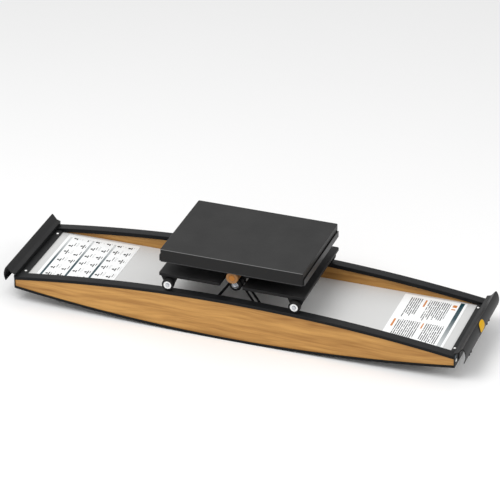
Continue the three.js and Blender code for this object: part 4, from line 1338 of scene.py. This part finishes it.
class SKI_OT_wheels(Operator):
    """Makes the four wheels, each a tread on a pale hub, with their bolts and brackets"""

    bl_idname = "ski_simulator.wheels"
    bl_label = "Wheels"

    def execute(self, context):
        settings = context.scene.ski_carriage
        ends = context.scene.ski_ends
        tread = coated("wheel tread", settings.tyre_tone)
        hub_finish = coated("pale hub", settings.hub_tone)
        zinc = coated("zinc plated steel", ends.zinc_tone)
        steel = black_steel(ends)
        hub_radius = 11.5 * MM
        lip_radius = 10.4 * MM
        dish_radius = 9.6 * MM
        bore_radius = 4.3 * MM
        bolt_radius = 4 * MM
        washer_radius = 6.5 * MM
        for side_name, side in SIDES.items():
            step = side * MM
            for end_name in ENDS:
                body = f"wheel_{side_name}_{end_name}"
                low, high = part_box(body)
                centre = ((low.x + high.x) / 2, 0, (low.z + high.z) / 2)
                radius = (high.z - low.z) / 2
                outer, inner = outer_inner(low, high, side)
                profile = [(hub_radius, inner), (radius, inner), (radius, outer), (hub_radius, outer)]
                profile = rounded(profile, np.array((0.4, 2.6, 2.6, 0.8)) * MM, 5)
                tyre = turned(profile, centre, closed=True, segments=64)
                piece(body + "_tread", [tyre], tread, body, [body])
                rim = outer - 0.7 * step
                dish = outer - 2 * step
                back = inner + 0.4 * step
                profile = [
                    (bore_radius, back), (hub_radius, back), (hub_radius, rim),
                    (lip_radius, rim), (dish_radius, dish), (bore_radius, dish),
                ]
                hub = turned(rounded(profile, 0.3 * MM, 2), centre, closed=True)
                piece(body + "_hub", [hub], hub_finish, body)

                node = f"wheel_bolt_{side_name}_{end_name}"
                low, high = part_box(node)
                head, tail = outer_inner(low, high, side)
                under = head - 2.8 * step
                washer = rod(washer_radius, head - 4 * step, under)
                shank = rod(bolt_radius, tail + 2.5 * step, under - step)
                shells = [
                    turned(shank, centre),
                    turned(rounded(washer, 0.3 * MM, 2, closed=False), centre),
                    hexagon(centre, 10 * MM, under - 0.1 * step, head),
                    hexagon(centre, 12 * MM, tail + 3 * step, tail),
                ]
                piece(node + "_hex", shells, zinc, "carriage", [node])
                softened(f"wheel_bracket_{side_name}_{end_name}", 0.6 * MM, steel)
        return {"FINISHED"}


class SKI_OT_pulleys(Operator):
    """Makes the two grooved pulleys with their capped nuts and hangers"""

    bl_idname = "ski_simulator.pulleys"
    bl_label = "Pulleys"

    def execute(self, context):
        settings = context.scene.ski_carriage
        nylon = coated("black nylon", settings.nylon_tone)
        nut = coated("grey plated nuts", settings.nut_tone)
        steel = black_steel(context.scene.ski_ends)
        depth, half = settings.groove_depth, settings.groove_half_width
        bore_radius = 5.3 * MM
        bolt_radius = 5 * MM
        nut_radius = 10 * MM
        for side_name, side in SIDES.items():
            step = side * MM
            body = side_name + "_pulley"
            low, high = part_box(body)
            centre = (0, 0, (low.z + high.z) / 2)
            radius = (high.z - low.z) / 2
            outer, inner = outer_inner(low, high, 1)
            corners = [(bore_radius, inner), (radius, inner)]
            for lane in ("inner", "outer"):
                cord_low, cord_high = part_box(f"{side_name}_{lane}_cord")
                middle = abs(cord_low.y + cord_high.y) / 2
                corners += [
                    (radius, middle - half),
                    (radius - depth, middle - half / 2),
                    (radius - depth, middle + half / 2),
                    (radius, middle + half),
                ]
            corners += [(radius, outer), (bore_radius, outer)]
            profile = rounded(corners, 0.7 * MM, 3) * (1, side)
            grooved = turned(profile, centre, segments=72, closed=True)
            piece(body + "_grooved", [grooved], nylon, body, [body])

            node = side_name + "_pulley_bolt"
            low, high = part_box(node)
            head, tail = outer_inner(low, high, side)
            nut_low = side * outer + 0.3 * step
            nut_high = nut_low + 4.5 * step
            flange = nut_low + 2 * step
            shank = rod(bolt_radius, tail + 5 * step, nut_low + step)
            stepped = [
                (0, nut_low),
                (nut_radius, nut_low),
                (nut_radius, flange),
                (8.8 * MM, flange),
                (7.8 * MM, nut_low + 1.4 * step),
                (7.4 * MM, nut_high),
                (6.2 * MM, nut_high),
                (5.4 * MM, nut_high - 0.8 * step),
                (4.6 * MM, head - 0.6 * step),
                (2.6 * MM, head),
                (0, head),
            ]
            radii = np.array((0, 0.3, 0.5, 0.4, 0.3, 0.5, 0.4, 0.3, 0.9, 0.9, 0)) * MM
            shells = [
                turned(shank, centre),
                turned(rounded(stepped, radii, 3, closed=False), centre, segments=64),
                hexagon(centre, 12 * MM, tail + 6 * step, tail),
            ]
            piece(node + "_capped", shells, nut, "carriage", [node])
            softened(side_name + "_pulley_hanger", 0.5 * MM, steel)
        return {"FINISHED"}


class SKI_OT_pivot(Operator):
    """Makes the amber rollers and finishes the saddle, shaft and lugs of the rocking pivot"""

    bl_idname = "ski_simulator.pivot"
    bl_label = "Rocking pivot"

    def execute(self, context):
        settings = context.scene.ski_carriage
        ends = context.scene.ski_ends
        # The amber finish darkens the rollers' rounded rims to dark brown as a painted shade.
        amber = coated("amber roller", settings.roller_tone, subsurface=0.1)
        orange = coated("orange plug", settings.plug_tone)
        steel = black_steel(ends)
        bore_radius = 7.3 * MM
        plug_radius = 8.6 * MM
        for side_name, side in SIDES.items():
            step = side * MM
            node = side_name + "_rocker_roller"
            low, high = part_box(node)
            centre = (0, 0, (low.z + high.z) / 2)
            radius = (high.z - low.z) / 2
            outer, inner = outer_inner(low, high, side)
            wall = outer - 8 * step
            recess = outer - 1.2 * step
            corners = [
                (0, wall), (bore_radius, wall), (bore_radius, inner), (radius, inner),
                (radius, outer), (10 * MM, outer), (9 * MM, recess), (0, recess),
            ]
            radii = np.array((0, 0.2, 0.4, 2, 2.2, 0.6, 0.4, 0)) * MM
            rim = turned(rounded(corners, radii, 4, closed=False), centre, segments=64)
            piece(node + "_rounded", [rim], amber, "carriage", [node])
            seat = outer - 1.4 * step
            plug = [(0, seat), (plug_radius, seat), (plug_radius, outer - 0.3 * step), (0, outer)]
            shell = turned(rounded(plug, (0, 0, 0.8 * MM, 0), 4, closed=False), centre, segments=64)
            piece(node + "_plug", [shell], orange, "carriage")
            softened(side_name + "_pivot_lug", 0.5 * MM, steel)
        softened("pivot_saddle", 0.6 * MM, steel)
        dress("pivot_shaft", coated("zinc plated steel", ends.zinc_tone))
        return {"FINISHED"}


class SKI_OT_platform(Operator):
    """Makes the platform's cover, a pan turned over, and finishes its tray and core"""

    bl_idname = "ski_simulator.platform"
    bl_label = "Foot platform"

    def execute(self, context):
        settings = context.scene.ski_platform
        # The rim and the strong worn edges paint a highlight along the cover's rounded top edges.
        finish = coated("platform powder coat", settings.cover_tone, rim=0.55)
        tray_finish = coated("tray powder coat", settings.tray_tone)
        low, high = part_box("platform_cover")
        radius, edge = settings.corner_radius, settings.top_edge
        sheet = 1.6 * MM
        hair = 0.01 * MM
        flange_gap = 0.05 * MM
        outline = rounded(rectangle(low.x, high.x, low.y, high.y), radius, 8)
        stop = high.y - radius
        flange_ends = (-stop + flange_gap, stop - flange_gap)
        extra = np.array([(x, y) for x in (low.x, high.x) for y in flange_ends])
        outline = np.concatenate([outline, extra])
        outline = outline[np.argsort(np.arctan2(outline[:, 1], outline[:, 0]))]
        short = (np.abs(outline[:, 0]) > high.x - hair) & (np.abs(outline[:, 1]) < stop - hair)
        skirt = np.where(short, high.z - settings.side_flange, low.z)
        level = np.zeros_like(skirt)
        turn = np.linspace(0, math.pi / 2, 6)[1:]
        insets = [sheet, sheet, 0.4 * MM, 0, 0, *(edge * (1 - np.cos(turn)))]
        levels = [high.z - sheet + level, skirt + 0.3 * MM, skirt, skirt + 0.4 * MM, high.z - edge + level]
        levels += [high.z - edge * (1 - rise) + level for rise in np.sin(turn)]
        points = np.empty((len(levels), len(outline), 3))
        points[..., :2] = outline[None] - np.array(insets)[:, None, None] * outline_normals(outline)[None]
        points[..., 2] = np.stack(levels)
        piece("platform_cover_pan", [capped(points)], finish, "platform", ["platform_cover"])
        softened("platform_tray", 0.4 * MM, tray_finish)
        # The core is dark as a painted shade for the groove between cover and tray.
        dress("platform_core", coated("core darkened as groove shade", settings.core_groove_shade_tone))
        return {"FINISHED"}


OPERATORS = (
    SKI_OT_stage,
    SKI_OT_cords,
    SKI_OT_side_boards,
    SKI_OT_edge_trims,
    SKI_OT_deck,
    SKI_OT_printed_films,
    SKI_OT_base_ends,
    SKI_OT_hoods,
    SKI_OT_badge,
    SKI_OT_carriage_plate,
    SKI_OT_wheels,
    SKI_OT_pulleys,
    SKI_OT_pivot,
    SKI_OT_platform,
)

SETTINGS = {
    "ski_stage": StageSettings,
    "ski_boards": BoardSettings,
    "ski_deck": DeckSettings,
    "ski_ends": EndSettings,
    "ski_carriage": CarriageSettings,
    "ski_platform": PlatformSettings,
}


class SKI_PT_parts(Panel):
    """Lists the simulator's pieces, with the sizes and colours that can be changed"""

    bl_idname = "SKI_PT_parts"
    bl_label = "Ski simulator"
    bl_space_type = "VIEW_3D"
    bl_region_type = "UI"
    bl_category = "Ski simulator"

    def draw(self, context):
        for name, group in SETTINGS.items():
            box = self.layout.box()
            for key in group.__annotations__:
                box.prop(getattr(context.scene, name), key)
        for operator in OPERATORS:
            self.layout.operator(operator.bl_idname)


def register():
    for group in (*SETTINGS.values(), *OPERATORS, SKI_PT_parts):
        bpy.utils.register_class(group)
    for name, group in SETTINGS.items():
        setattr(bpy.types.Scene, name, PointerProperty(type=group))


def unregister():
    for name in SETTINGS:
        delattr(bpy.types.Scene, name)
    for group in reversed((*SETTINGS.values(), *OPERATORS, SKI_PT_parts)):
        bpy.utils.unregister_class(group)


def main():
    register()
    for operator in OPERATORS:
        area, name = operator.bl_idname.split(".")
        getattr(getattr(bpy.ops, area), name)()


if __name__ == "__main__":
    main()
